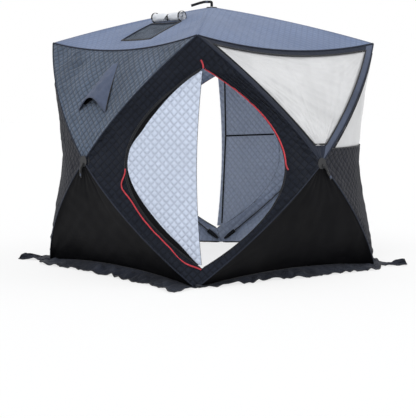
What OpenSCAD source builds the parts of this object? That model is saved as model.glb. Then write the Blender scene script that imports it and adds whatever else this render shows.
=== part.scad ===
// Pop-up ice fishing hut. Four walls that a hub pushes outwards, a hub roof,
// a zipped door in two opposite corners, windows, vents, poles and a skirt.
// +Z is up and the origin is on the ground at the middle of the floor.
// The front wall faces -Y and the left wall -X. The doors are in the
// front left and the back right corner.

/* [Overall size] */
// Side of the square between the four ground corners
base_width = 1800; // [1500:10:2400]
// Side of the square between the four roof corners
eave_width = 1750; // [1450:10:2350]
// Height of the roof corners
eave_height = 1700; // [1400:10:2050]
// Height of the roof fabric at its peak
peak_height = 1975; // [1800:5:2450]
// Height of the wall hubs
hub_height = 830; // [650:10:1000]
// How far a wall hub stands out past the ground line
hub_reach = 292; // [150:1:360]

/* [Fabric] */
// Thickness of the quilted, insulated fabric
fabric_thickness = 8; // [3:0.5:15]
// Drop of the roof seam at the middle of a wall
eave_sag = 80; // [0:5:120]
// How far the roof seam is drawn in at the middle of a wall
eave_draw = 10; // [0:5:40]
// Rise of the ground seam at the middle of a wall
base_rise = 55; // [0:5:90]
// How far a wall panel is drawn in between its poles
wall_draw = 15; // [0:5:40]
// How far the middle of a corner is drawn in
corner_draw = 115; // [0:5:180]
// Cells between a hub and a pole end, in each panel
panel_rows = 6; // [5:1:10]
// Cells across a panel
panel_columns = 6; // [4:2:10]

/* [Poles and hubs] */
// Diameter of a pole
pole_d = 10; // [7:0.5:14]
// Outward bow of a wall pole
wall_pole_bow = 75; // [0:5:110]
// Upward bow of a roof pole
roof_pole_bow = 20; // [0:5:60]
// Depth of a pole's axis below the fabric's outer face
pole_depth = 25; // [20:0.5:36]
// Depth of the roof hub's body below the inner side of the roof's slopes
roof_hub_drop = 5; // [2:0.5:16]
// Diameter of a hub's body
hub_d = 64; // [50:1:90]
// Thickness of a hub's body
hub_thickness = 20; // [16:1:30]
// Diameter of the stem through the fabric
stem_d = 24; // [16:1:34]
// Diameter of the cap outside the fabric
cap_d = 80; // [72:1:110]
// Thickness of the cap
cap_thickness = 5; // [3:0.5:8]
// Width of the hole that the hub's stem goes through
hub_hole = 50; // [36:1:60]
// Diameter of a pocket around a pole's end
pocket_d = 22; // [18:1:30]
// Length of a pocket
pocket_length = 90; // [50:5:140]
// Distance from a corner to the closed end of its pockets
pocket_setback = 30; // [26:1:60]
// Radial clearance of a pole in a hub or a pocket
fit_clearance = 0.3; // [0.2:0.1:0.6]
// Gap where one piece is seated on another
seat_gap = 0.4; // [0.3:0.1:0.8]

/* [Doors] */
// Height of the lower tip of a doorway
door_bottom = 130; // [90:2:240]
// Distance from the roof's corners down to the upper tip of a doorway
door_top_drop = 220; // [140:5:400]
// Width of half a doorway, from its fold to its edge
door_half_width = 585; // [420:5:640]
// How square the edge of a doorway is at its widest
door_edge_power = 1.9; // [1.4:0.1:2.6]
// How blunt the tips of a doorway are, less than 1 for blunter
door_tip_power = 0.98; // [0.9:0.01:1.3]
// How far a doorway is set to the right of its corner, seen from outside
door_shift = 38; // [0:2:80]
// How far each half of a doorway leans in from a flat corner, in degrees
door_lean = 20; // [10:1:26]
// Thickness of a door panel
door_thickness = 5; // [3:0.5:8]
// Depth of a closed door panel behind the line it folds on
door_setback = 3; // [2.6:0.1:5]
// Gap around the half that stays zipped
zip_gap = 0.6; // [0.4:0.1:1]
// Clearance around the half that opens
door_clearance = 6; // [5.5:0.5:10]
// Distance from the fold to the half that stays zipped
fold_gap = 11; // [10:1:16]
// Diameter of the seam cord that a door folds on
seam_d = 5; // [3:0.5:5]
// Wall of the sleeve around the seam cord
sleeve_wall = 2.2; // [1.5:0.1:3]

/* [Windows and vents] */
// Width of the strip between a wall pole and a window
window_border = 75; // [40:5:90]
// Width of the strip between the roof seam and a window
window_top_border = 45; // [30:5:90]
// Height of a wall window's lower edge above the wall hubs
window_rise = 135; // [100:5:220]
// Height of the corner window's lower edge above the wall hubs
corner_window_rise = 100; // [80:5:160]
// Thickness of a window pane or mesh
pane_thickness = 2; // [1:0.5:3]
// Half the width of the roof window
roof_window_half = 175; // [120:5:220]
// Diameter of the rolled roof window cover
roll_d = 72; // [40:2:80]
// Width of the rolled roof window cover
roll_length = 340; // [240:10:420]
// Distance from the roof's corners down to the top of a vent hood
vent_top_drop = 155; // [120:5:300]
// Height of a vent hood, from its lower corners to its top
vent_height = 350; // [200:5:420]
// Width of a vent hood at its mouth
vent_mouth_width = 340; // [200:10:400]
// Width of a vent hood at its top
vent_top_width = 60; // [40:10:200]
// How far a vent hood stands out at its mouth
vent_depth = 65; // [40:5:120]
// Rise of the middle of a vent's mouth above its corners
vent_mouth_rise = 85; // [0:5:120]
// How far a vent's top is set to the right of the wall's middle
vent_shift = 50; // [0:5:100]
// How far a vent's mouth is set to the left of its top
vent_slant = 40; // [0:5:100]
// Thickness of a vent hood
vent_thickness = 5; // [3:0.5:8]
// Gap between a vent hood's edges and the wall
vent_gap = 3; // [1:0.5:4]

/* [Straps and skirt] */
// Width of the webbing
strap_width = 25; // [15:1:40]
// Thickness of the webbing
strap_thickness = 2.5; // [2:0.5:4]
// Length of a hub's pull strap
pull_length = 120; // [60:5:160]
// Length of the strap on the roof
roof_strap_length = 165; // [120:5:220]
// Height of the strap above the peak's cap
roof_strap_height = 36; // [20:2:60]
// Thickness of the skirt
skirt_thickness = 4; // [2:0.5:6]
// Width of the skirt at the middle of a wall
skirt_width = 165; // [80:5:220]
// Width of the skirt at a door corner
skirt_door_width = 45; // [30:5:80]
// Width of the skirt at a corner without a door
skirt_tail_width = 170; // [80:5:220]

/* [Hidden] */

roof_colour = "slategray";
quilt_colour = "darkslategray";
base_colour = "black";
strip_colour = "midnightblue";
pane_colour = "gainsboro";
lining_colour = "lightsteelblue";
frame_colour = "dimgray";

hub = [0, -base_width / 2 - hub_reach, hub_height];
eave_corner = [eave_width / 2, -eave_width / 2, eave_height];
base_corner = [base_width / 2, -base_width / 2, 0];
door_top = eave_height - door_top_drop;
window_bottom = hub_height + window_rise;
corner_window_bottom = hub_height + corner_window_rise;
vent_top_height = eave_height - vent_top_drop;
vent_mouth_height = vent_top_height - vent_height;
peak = [0, 0, peak_height];
corner_draw_power = 1.3;
last_corner_row = 2 * panel_rows + 1;
round_detail = 48;

// ---- Vectors ----
function lerp(a, b, t) = a + (b - a) * t;
function unit(v) = v / norm(v);
function hump(t) = 4 * t * (1 - t);
function heading(angle) = [cos(angle), sin(angle), 0];
// A point turned about the hut's middle by k quarter turns
function turn(p, k) = k == 0 ? p : turn([-p[1], p[0], p[2]], k - 1);
function turned(grid, k) = [for (row = grid) [for (p = row) turn(p, k)]];
// The fabric's thickness runs along lines from one point inside the hut, so
// that neighbouring panels share the faces where they are sewn together.
function sink(p, depth) = p - depth * unit(p - [0, 0, hub_height]);
function sunk(grid, depth) = [for (row = grid) [for (p = row) sink(p, depth)]];

// ---- Seams and surfaces of the front wall, the front roof panel and the
// front right corner. t runs from a hub, or the peak, to a pole's far end. ----
function pole_start(up) = (hub_hole / 2) / (up ? eave_corner[0] : base_corner[0]);
function station(i, up) = lerp(pole_start(up), 1, i / panel_rows);
function wall_pole(t, up, side) =
    let (p = lerp(hub, up ? eave_corner : base_corner, t))
    [side * p[0], p[1] - wall_pole_bow * hump(t), p[2]];
function roof_pole(t, side) =
    lerp(peak, [side * eave_corner[0], eave_corner[1], eave_height], t)
    + [0, 0, roof_pole_bow * hump(t)];
function roof_point(s, t) =
    lerp(roof_pole(t, -1), roof_pole(t, 1), s)
    + hump(s) * t * t * [0, eave_draw, -eave_sag];
function wall_top_point(s, t) =
    lerp(wall_pole(t, true, -1), wall_pole(t, true, 1), s)
    + hump(s) * [0, wall_draw * hump(t) + eave_draw * t * t, -eave_sag * t * t];
function wall_base_point(s, t) =
    lerp(wall_pole(t, false, -1), wall_pole(t, false, 1), s)
    + hump(s) * [0, wall_draw * hump(t), base_rise * t * t];
// In a corner v runs from 1 at the roof to -1 at the ground, and x from -1 at
// the front wall's pole to 1 at the right wall's pole.
function corner_pole(v, side) =
    side < 0 ? wall_pole(abs(v), v > 0, 1)
             : turn(wall_pole(abs(v), v > 0, -1), 1);
function corner_line(z) =
    lerp(base_corner, eave_corner, z / eave_height)
    + corner_draw * (1 - pow(abs(2 * z / eave_height - 1), corner_draw_power))
      * heading(135);
function corner_point(v, x) =
    let (left = corner_pole(v, -1), right = corner_pole(v, 1))
    let (middle = corner_line(left[2]))
    middle + x * (right - left) / 2 + x * x * ((left + right) / 2 - middle);
function corner_row(i) =
    i <= panel_rows ? station(panel_rows - i, true)
                    : -station(i - panel_rows - 1, false);

// ---- Grids of points, top row first, left to right seen from outside ----
// Columns leave a strip of the stated width at both sides of a row.
function column_share(j, strip) =
    j == 0 ? 0 : j == panel_columns ? 1
    : lerp(strip, 1 - strip, (j - 1) / (panel_columns - 2));
function strip_share(t) = min(window_border / (2 * t * eave_corner[0]), 0.28);
function wall_top_grid() = [for (i = [panel_rows:-1:0])
    let (t = station(i, true))
    [for (j = [0:panel_columns]) wall_top_point(column_share(j, strip_share(t)), t)]];
function wall_base_grid() = [for (i = [0:panel_rows])
    let (t = station(i, false))
    [for (j = [0:panel_columns]) wall_base_point(j / panel_columns, t)]];
function roof_grid() = [for (i = [0:panel_rows])
    let (t = station(i, true))
    [for (j = [0:panel_columns]) roof_point(column_share(j, strip_share(t)), t)]];
function corner_grid(first, last) = [for (i = [first:last])
    [for (j = [0:panel_columns])
        corner_point(corner_row(i), 2 * j / panel_columns - 1)]];

// ---- A panel with thickness, between an outer and an inner grid. A hole is
// [first row, last row, first column, last column] of cells left out. ----
function pointed(row) = norm(row[0] - row[len(row) - 1]) < 0.01;
function in_hole(i, j, holes) =
    len([for (h = holes) if (i >= h[0] && i <= h[1] && j >= h[2] && j <= h[3]) 1]) > 0;
function rank(p) = p[2] + 0.37 * norm([p[0], p[1]]);
module panel(outer, inner, holes = []) {
    rows = len(outer) - 1;
    columns = len(outer[0]) - 1;
    width = columns + 1;
    below = (rows + 1) * width;
    points = [for (grid = [outer, inner]) for (row = grid) each row];
    function id(i, j) = i * width + (pointed(outer[i]) ? 0 : j);
    function there(i, j) =
        i >= 0 && j >= 0 && i < rows && j < columns && !in_hole(i, j, holes);
    function edge(u, v) =
        u == v ? []
        : rank(points[u]) < rank(points[v])
            ? [[v, u, v + below], [u, u + below, v + below]]
            : [[v, u, u + below], [v, u + below, v + below]];
    function skin(f) =
        f[0] == f[1] || f[1] == f[2] || f[2] == f[0] ? []
        : [f, [f[0] + below, f[2] + below, f[1] + below]];
    faces = [for (i = [0:rows - 1]) for (j = [0:columns - 1]) if (there(i, j))
        let (a = id(i, j), b = id(i, j + 1), c = id(i + 1, j + 1), d = id(i + 1, j))
        each concat(skin([a, b, c]), skin([a, c, d]),
            there(i - 1, j) ? [] : edge(a, b), there(i, j + 1) ? [] : edge(b, c),
            there(i + 1, j) ? [] : edge(c, d), there(i, j - 1) ? [] : edge(d, a))];
    polyhedron(points, faces, convexity = 4);
}
module fabric(grid, k = 0, holes = []) {
    outer = turned(grid, k);
    panel(outer, sunk(outer, fabric_thickness), holes);
}
// A pane closes a hole, just behind the fabric.
module pane(grid, k, hole) {
    glazed = [for (i = [hole[0]:hole[1] + 1]) [for (j = [hole[2]:hole[3] + 1]) grid[i][j]]];
    outer = sunk(turned(glazed, k), fabric_thickness + seat_gap);
    panel(outer, sunk(outer, pane_thickness));
}

// ---- Roof ----
module roof_front() { color(roof_colour) fabric(roof_grid()); }
module roof_right() { color(roof_colour) fabric(roof_grid(), 1); }
module roof_back() { color(roof_colour) fabric(roof_grid(), 2); }

// The window in the left roof panel spans whole cells, and the columns beside
// it are moved to keep its sides parallel.
roof_window_first_row = floor(panel_rows / 2);
roof_window_last_row = panel_rows - 2;
roof_window_side = panel_columns / 2 - 1;
function roof_window_share(j, t, half) =
    let (edge = 0.5 - half / (2 * t * eave_corner[0]), side = roof_window_side)
    j <= side ? edge * j / side
    : j >= panel_columns - side ? 1 - edge * (panel_columns - j) / side
    : 0.5;
function roof_window_panel() = [for (i = [0:panel_rows])
    let (t = station(i, true), near = i >= roof_window_first_row && i < panel_rows)
    [for (j = [0:panel_columns])
        roof_point(near ? roof_window_share(j, t, roof_window_half)
                        : column_share(j, strip_share(t)), t)]];
roof_window_cells = [roof_window_first_row, roof_window_last_row,
    roof_window_side, panel_columns - roof_window_side - 1];
roof_run = norm([eave_corner[0], peak_height - eave_height]);
module roof_left() {
    color(roof_colour) fabric(roof_window_panel(), 3, [roof_window_cells]);
}
module roof_window_mesh() {
    color(frame_colour) pane(roof_window_panel(), 3, roof_window_cells);
}
// The rolled cover lies on the roof just above the window's upper edge.
module roof_window_cover() {
    t = station(roof_window_first_row, true) - roll_d / 2 / roof_run;
    end_share = 0.5 + roll_length / 2 / (2 * t * eave_corner[0]);
    seat = roof_point(end_share, t);
    slope = atan2(peak_height - eave_height + eave_sag, eave_corner[0]);
    color(pane_colour) rotate([0, 0, -90])
        translate([0, seat[1], seat[2]]) rotate([slope, 0, 0])
        translate([0, 0, roll_d / 2 + seat_gap]) rotate([0, 90, 0])
        cylinder(h = roll_length, d = roll_d, center = true, $fn = round_detail);
}

// ---- Walls ----
window_low_t = (window_bottom - hub_height) / (eave_height - hub_height);
window_high_t = 1 - window_top_border / (eave_height - hub_height);
// Between its two side seams a window's rows run from its lower edge to its
// upper edge.
function window_t(i) = lerp(window_low_t, window_high_t, (i - 1) / (panel_rows - 2));
function window_wall_grid() = [for (i = [panel_rows:-1:0])
    [for (j = [0:panel_columns])
        let (side = j == 0 || j == panel_columns || i == 0 || i == panel_rows)
        let (t = side ? station(i, true) : window_t(i))
        wall_top_point(column_share(j, strip_share(t)), t)]];
window_cells = [1, panel_rows - 2, 1, panel_columns - 2];
module window_frame(k) {
    color(strip_colour) fabric(window_wall_grid(), k, [window_cells]);
}
module window(k) { color(pane_colour, 0.6) pane(window_wall_grid(), k, window_cells); }
module front_window_frame() { window_frame(0); }
module front_window() { window(0); }
module back_window_frame() { window_frame(2); }
module back_window() { window(2); }
module right_wall_top() { color(quilt_colour) fabric(wall_top_grid(), 1); }
module left_wall_top() { color(quilt_colour) fabric(wall_top_grid(), 3); }
module front_wall_base() { color(base_colour) fabric(wall_base_grid(), 0); }
module right_wall_base() { color(base_colour) fabric(wall_base_grid(), 1); }
module back_wall_base() { color(base_colour) fabric(wall_base_grid(), 2); }
module left_wall_base() { color(base_colour) fabric(wall_base_grid(), 3); }

// ---- Vent hoods: an arch over the wall, open at its lower end ----
vent_rows = 4;
vent_columns = 8;
function vent_grid(inset) = [for (i = [0:vent_rows])
    let (f = i / vent_rows, middle = vent_shift - vent_slant * f)
    let (half = lerp(vent_top_width, vent_mouth_width, f) / 2 - inset)
    let (lift = lerp(vent_thickness + 2, vent_depth, f) - inset)
    [for (j = [0:vent_columns])
        let (across = lerp(-1, 1, j / vent_columns), arch = cos(90 * across))
        let (z = lerp(vent_top_height, vent_mouth_height + vent_mouth_rise * arch, f))
        let (t = (z - hub_height) / (eave_height - hub_height))
        wall_top_point(0.5 + (middle + half * across) / (2 * t * eave_corner[0]), t)
        - [0, lift * arch + vent_gap, 0]]];
module vent_hood(k) {
    color(quilt_colour) panel(turned(vent_grid(0), k), turned(vent_grid(vent_thickness), k));
}
module left_vent_hood() { vent_hood(3); }
module right_vent_hood() { vent_hood(1); }

// ---- Corners ----
// The corner window ends on a level line, above the ends of its side seams.
split_row = panel_rows;
split_v = (corner_window_bottom - hub_height) / (eave_height - hub_height);
top_v = station(panel_rows - 1, true);
function corner_window_v(i) = lerp(top_v, split_v, (i - 1) / (split_row - 1));
function corner_window_x(j, v) =
    let (strip = min(window_border / norm(corner_pole(v, 1) - corner_line(corner_pole(v, 1)[2])), 0.4))
    2 * column_share(j, strip / 2) - 1;
function corner_frame_grid() = [for (i = [0:split_row])
    [for (j = [0:panel_columns])
        let (side = j == 0 || j == panel_columns || i == 0)
        let (v = side ? corner_row(i) : corner_window_v(i))
        corner_point(v, corner_window_x(j, v))]];
function corner_lower_grid() = concat([corner_frame_grid()[split_row]],
    corner_grid(split_row + 1, last_corner_row));
corner_window_cells = [1, split_row - 1, 1, panel_columns - 2];
module corner_window_frame() {
    color(strip_colour) fabric(corner_frame_grid(), 0, [corner_window_cells]);
}
module corner_window() {
    color(pane_colour, 0.6) pane(corner_frame_grid(), 0, corner_window_cells);
}
module front_right_corner() { color(quilt_colour) fabric(corner_lower_grid(), 0); }
module back_left_corner() {
    color(quilt_colour) fabric(corner_grid(0, last_corner_row), 2);
}

// ---- Doors, made in the front right corner and turned into place. Each
// doorway is two flat halves that meet at an upright fold. ----
door_middle = (door_top + door_bottom) / 2;
door_half_height = (door_top - door_bottom) / 2;
fold_foot = (corner_line(door_top) + corner_line(door_bottom)) / 2 + door_shift * heading(45);
function fold_point(z) = [fold_foot[0], fold_foot[1], z];
function doorway_half(z) =
    door_half_width
    * pow(1 - pow(min(abs(z - door_middle) / door_half_height, 1), door_edge_power),
          door_tip_power);
function door_angle(side) = -45 + side * (90 + door_lean);
function door_normal(side) = heading(-45 + side * door_lean);
function rim_point(z, side) = fold_point(z) + doorway_half(z) * heading(door_angle(side));
// The corner rows that the doorway's two tips are nearest to
function share_up(z) = (z - hub_height) / (eave_height - hub_height);
function share_down(z) = (hub_height - z) / hub_height;
tip_row = panel_rows
    - round(panel_rows * (share_up(door_top) - pole_start(true)) / (1 - pole_start(true)));
toe_row = panel_rows + 1
    + round(panel_rows * (share_down(door_bottom) - pole_start(false)) / (1 - pole_start(false)));
function rim_height(i) = lerp(door_top, door_bottom, (i - tip_row) / (toe_row - tip_row));
function in_rim(i) = i > tip_row && i < toe_row;
// The surround's inner edge: the corner seam down to the doorway, the
// doorway's edge, and the corner seam down to the ground.
function surround_edge(i, side) =
    i <= tip_row ? lerp(eave_corner, fold_point(door_top), i / tip_row)
    : i >= toe_row ? lerp(fold_point(door_bottom), base_corner,
                          (i - toe_row) / (last_corner_row - toe_row))
    : rim_point(rim_height(i), side);
surround_columns = 3;
function surround_point(i, side, u) =
    let (v = corner_row(i), seam = corner_pole(v, side), edge = surround_edge(i, side))
    let (chord = (corner_pole(v, -1) + corner_pole(v, 1)) / 2)
    let (share = in_rim(i) ? norm(seam - edge) / norm(seam - fold_point(edge[2])) : 1)
    lerp(seam, edge, u) + share * share * u * (1 - u) * (corner_line(seam[2]) - chord);
function surround_grid(side, inner) = [for (i = [0:last_corner_row])
    [for (j = [0:surround_columns])
        let (u = (side < 0 ? j : surround_columns - j) / surround_columns)
        let (p = surround_point(i, side, u))
        !inner ? p
        : u < 1 || i < tip_row || i > toe_row ? sink(p, fabric_thickness)
        : in_rim(i) ? p - fabric_thickness * door_normal(side)
        : p - fabric_thickness * heading(-45)]];
module door_surround(side, k) {
    color(quilt_colour)
        panel(turned(surround_grid(side, false), k), turned(surround_grid(side, true), k));
}
// A door panel's outline, inset from the doorway and cut off beside the fold.
module door_outline(inset, start) {
    heights = [for (i = [tip_row:toe_row]) rim_height(i)];
    rim = [for (z = heights) [doorway_half(z), z]];
    far_rim = [for (i = [len(rim) - 2:-1:1]) [-rim[i][0], rim[i][1]]];
    intersection() {
        offset(delta = -inset) polygon(concat(rim, far_rim));
        translate([start, 0]) square([door_half_width, eave_height]);
    }
}
module door_panel(side, inset, start) {
    depth = side > 0 ? door_setback + door_thickness : -door_setback;
    translate(fold_foot - [0, 0, fold_foot[2]]) rotate([0, 0, door_angle(side)])
        translate([0, depth, 0]) rotate([90, 0, 0])
        linear_extrude(height = door_thickness) door_outline(inset, start);
}
// The cord ends where the doorway's narrowing tips hold it.
tip_slope = doorway_half(rim_height(tip_row + 1)) / (door_top - rim_height(tip_row + 1));
toe_slope = doorway_half(rim_height(toe_row - 1)) / (rim_height(toe_row - 1) - door_bottom);
function tip_room(radius, gap, slope) = (radius + gap * norm([1, slope])) / slope;
seam_foot = door_bottom + tip_room(seam_d / 2, seat_gap, toe_slope);
seam_head = door_top - tip_room(seam_d / 2, seat_gap, tip_slope);
sleeve_r = seam_d / 2 + fit_clearance + sleeve_wall;
sleeve_foot = door_bottom + tip_room(sleeve_r, door_clearance, toe_slope);
sleeve_head = door_top - tip_room(sleeve_r, door_clearance, tip_slope);
module door_seam(k) {
    color(base_colour) rotate([0, 0, 90 * k])
        translate([fold_foot[0], fold_foot[1], seam_foot])
        cylinder(h = seam_head - seam_foot, d = seam_d, $fn = round_detail);
}
module zipped_half(k) {
    color(quilt_colour) rotate([0, 0, 90 * k]) door_panel(-1, zip_gap, fold_gap);
}
// The flap is drawn folded open over the zipped half.
module door_flap(k) {
    color(lining_colour) rotate([0, 0, 90 * k])
        translate([fold_foot[0], fold_foot[1], 0]) rotate([0, 0, -180 - 2 * door_lean])
        translate([-fold_foot[0], -fold_foot[1], 0])
        difference() {
            union() {
                door_panel(1, door_clearance, 0);
                translate([fold_foot[0], fold_foot[1], sleeve_foot])
                    cylinder(h = sleeve_head - sleeve_foot, r = sleeve_r, $fn = round_detail);
            }
            translate([fold_foot[0], fold_foot[1], 0])
                cylinder(h = eave_height, d = seam_d + 2 * fit_clearance, $fn = round_detail);
        }
}
module front_door_surround_left() { door_surround(-1, 3); }
module front_door_surround_right() { door_surround(1, 3); }
module front_door_zipped_half() { zipped_half(3); }
module front_door_flap() { door_flap(3); }
module front_door_seam() { door_seam(3); }
module back_door_surround_left() { door_surround(-1, 1); }
module back_door_surround_right() { door_surround(1, 1); }
module back_door_zipped_half() { zipped_half(1); }
module back_door_flap() { door_flap(1); }
module back_door_seam() { door_seam(1); }

// ---- Poles ----
pole_sides = 8;
function mean_heading(path, i) =
    i == 0 ? unit(path[1] - path[0])
    : i == len(path) - 1 ? unit(path[i] - path[i - 1])
    : unit(unit(path[i] - path[i - 1]) + unit(path[i + 1] - path[i]));
function ring(centre, along, r) =
    let (across = unit(cross(along, centre - [0, 0, hub_height])), up = cross(across, along))
    [for (q = [0:pole_sides - 1])
        centre + r * (cos(360 * q / pole_sides) * across + sin(360 * q / pole_sides) * up)];
module rod(path, d) {
    rings = [for (i = [0:len(path) - 1]) ring(path[i], mean_heading(path, i), d / 2)];
    last = (len(path) - 1) * pole_sides;
    polyhedron([for (r = rings) each r],
        concat(
            [[for (q = [0:pole_sides - 1]) q]],
            [[for (q = [pole_sides - 1:-1:0]) last + q]],
            [for (i = [0:len(path) - 2]) for (q = [0:pole_sides - 1])
                let (a = i * pole_sides + q, b = i * pole_sides + (q + 1) % pole_sides)
                each [[a, a + pole_sides, b], [b, a + pole_sides, b + pole_sides]]]),
        convexity = 2);
}
hub_centre = hub + [0, pole_depth, 0];
// The roof hub's body lies below the slopes, and its cap on the hole's edge.
peak_slope = (peak_height - eave_height + 4 * roof_pole_bow) / eave_corner[0];
roof_hub_depth = hub_thickness / 2 + peak_slope * hub_d / 2
    + fabric_thickness * norm([1, peak_slope]) + roof_hub_drop;
peak_centre = peak - [0, 0, roof_hub_depth];
peak_seat = roof_pole(pole_start(true), 1)[2];
socket_floor = stem_d / 2 + 2;
// A pole starts in its hub's socket, follows its seam below the fabric and
// stops short of the corner, in its pocket.
pole_stop = pocket_setback + 4;
function seated_path(centre, seam) =
    let (deep = [for (p = seam) sink(p, pole_depth)], last = len(deep) - 1)
    let (back = unit(deep[last - 1] - deep[last]))
    concat([centre + socket_floor * unit(deep[1] - centre)],
        [for (i = [1:last - 1]) deep[i]],
        [deep[last] + pole_stop * back]);
function wall_pole_path(up, side) = seated_path(hub_centre,
    [for (i = [0:panel_rows]) wall_pole(station(i, up), up, side)]);
function roof_pole_path(side) = seated_path(peak_centre,
    [for (i = [0:panel_rows]) roof_pole(station(i, true), side)]);
module wall_poles(k) {
    color(frame_colour) rotate([0, 0, 90 * k])
        for (up = [true, false], side = [-1, 1]) rod(wall_pole_path(up, side), pole_d);
}
module front_wall_poles() { wall_poles(0); }
module right_wall_poles() { wall_poles(1); }
module back_wall_poles() { wall_poles(2); }
module left_wall_poles() { wall_poles(3); }
module roof_poles() {
    color(frame_colour) for (k = [0:3]) rotate([0, 0, 90 * k]) rod(roof_pole_path(1), pole_d);
}

// ---- Hubs and pockets ----
// Turns +Z to a direction
module aim(direction) {
    flat = norm([direction[0], direction[1]]);
    rotate([0, 0, atan2(direction[1], direction[0])])
        rotate([0, atan2(flat, direction[2]), 0]) children();
}
module sockets(centre, paths) {
    for (path = paths) translate(centre) aim(path[1] - path[0])
        translate([0, 0, socket_floor - 1])
        cylinder(h = hub_d, d = pole_d + 2 * fit_clearance, $fn = round_detail);
}
// A hub on the Z axis, with its sockets' plane at zero and its cap upwards
module hub_solid(depth) {
    cap_at = depth + seat_gap;
    translate([0, 0, -hub_thickness / 2]) cylinder(h = hub_thickness, d = hub_d, $fn = round_detail);
    cylinder(h = cap_at + cap_thickness / 2, d = stem_d, $fn = round_detail);
    translate([0, 0, cap_at]) cylinder(h = cap_thickness, d = cap_d, $fn = round_detail);
}
module wall_hubs() {
    color(base_colour) for (k = [0:3]) rotate([0, 0, 90 * k]) difference() {
        translate(hub_centre) rotate([90, 0, 0]) hub_solid(pole_depth);
        sockets(hub_centre, [for (up = [true, false]) for (side = [-1, 1])
            wall_pole_path(up, side)]);
    }
}
module roof_hub() {
    color(base_colour) difference() {
        translate(peak_centre) hub_solid(peak_seat - peak_centre[2]);
        for (k = [0:3]) rotate([0, 0, 90 * k]) sockets(peak_centre, [roof_pole_path(1)]);
    }
}
module pocket(path) {
    end = path[len(path) - 1];
    back = unit(path[len(path) - 2] - end);
    floor_depth = pole_stop - pocket_setback;
    translate(end - floor_depth * back) aim(back) difference() {
        cylinder(h = pocket_length, d = pocket_d, $fn = round_detail);
        translate([0, 0, floor_depth - seat_gap])
            cylinder(h = pocket_length, d = pole_d + 2 * fit_clearance, $fn = round_detail);
    }
}
module pole_pockets() {
    color(base_colour) for (k = [0:3]) rotate([0, 0, 90 * k]) {
        for (up = [true, false], side = [-1, 1]) pocket(wall_pole_path(up, side));
        pocket(roof_pole_path(1));
    }
}

// ---- Straps ----
// A pull strap hangs from its hub's cap, bent over at the top.
module hub_straps() {
    face = hub[1] - seat_gap - cap_thickness - seat_gap;
    color(base_colour) for (k = [0:3]) rotate([0, 0, 90 * k])
        translate([-strap_width / 2, face - strap_thickness, hub_height - pull_length])
        cube([strap_width, strap_thickness, pull_length + strap_width / 2]);
}
// The roof strap stands on the peak's cap, then bends over towards the back
// left and droops to its free end.
module roof_strap() {
    top = roof_strap_height - strap_thickness;
    path = [[0, 0], [0, top - 8], [8, top], [roof_strap_length * 0.35, top],
            [roof_strap_length - strap_thickness, strap_thickness]];
    color(base_colour)
        translate([0, 0, peak_seat + 2 * seat_gap + cap_thickness]) rotate([0, 0, 139])
        translate([0, strap_width / 2, 0]) rotate([90, 0, 0])
        linear_extrude(height = strap_width)
        polygon(concat(path, [for (i = [4:-1:1]) path[i] + [-strap_thickness, strap_thickness] * 0.71],
            [[-strap_thickness, 0]]));
}

// ---- Skirt: a strip along each wall, sewn to the ground seam and lying on
// the ground. The strips meet at the corners, with a gap between them. ----
skirt_steps = panel_columns;
function skirt_reach(s, from, to) =
    lerp(s < 0.5 ? from : to, skirt_width, sqrt(sin(180 * s)));
module skirt_strip(from, to) {
    lean = (hub_reach + 4 * wall_pole_bow) / (hub_height - 2 * base_rise);
    function section(i) =
        let (s = i / skirt_steps, seam = wall_base_point(s, 1), reach = skirt_reach(s, from, to))
        let (bend = min(20 + 0.6 * seam[2], reach - 5), mitre = 2 * s - 1)
        [for (q = [[seat_gap + lean * skirt_thickness, seam[2] + skirt_thickness],
                   [bend, skirt_thickness], [reach, skirt_thickness], [reach, 0], [bend, 0],
                   [seat_gap, seam[2]]])
            [seam[0] + mitre * (q[0] - 2 * seat_gap), seam[1] - q[0], q[1]]];
    sections = [for (i = [0:skirt_steps]) section(i)];
    last = skirt_steps * 6;
    polyhedron([for (c = sections) each c],
        concat([[0, 1, 4, 5], [1, 2, 3, 4]],
            [[last + 5, last + 4, last + 1, last], [last + 4, last + 3, last + 2, last + 1]],
            [for (i = [0:skirt_steps - 1]) for (q = [0:5])
                let (a = i * 6 + q, b = i * 6 + (q + 1) % 6)
                each [[a, a + 6, b], [b, a + 6, b + 6]]]),
        convexity = 4);
}
module skirt() {
    color(strip_colour) for (k = [0:3]) rotate([0, 0, 90 * k])
        if (k % 2 == 0) skirt_strip(skirt_door_width, skirt_tail_width);
        else skirt_strip(skirt_tail_width, skirt_door_width);
}

roof_front();
roof_right();
roof_back();
roof_left();
roof_window_mesh();
roof_window_cover();
roof_strap();
front_window_frame();
front_window();
back_window_frame();
back_window();
left_wall_top();
right_wall_top();
left_vent_hood();
right_vent_hood();
front_wall_base();
right_wall_base();
back_wall_base();
left_wall_base();
back_left_corner();
front_right_corner();
corner_window_frame();
corner_window();
front_door_surround_left();
front_door_surround_right();
front_door_zipped_half();
front_door_flap();
front_door_seam();
back_door_surround_left();
back_door_surround_right();
back_door_zipped_half();
back_door_flap();
back_door_seam();
front_wall_poles();
right_wall_poles();
back_wall_poles();
left_wall_poles();
roof_poles();
wall_hubs();
roof_hub();
hub_straps();
pole_pockets();
skirt();
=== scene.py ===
import math

import bmesh
import bpy
import numpy as np
from mathutils import Matrix, Vector


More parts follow.
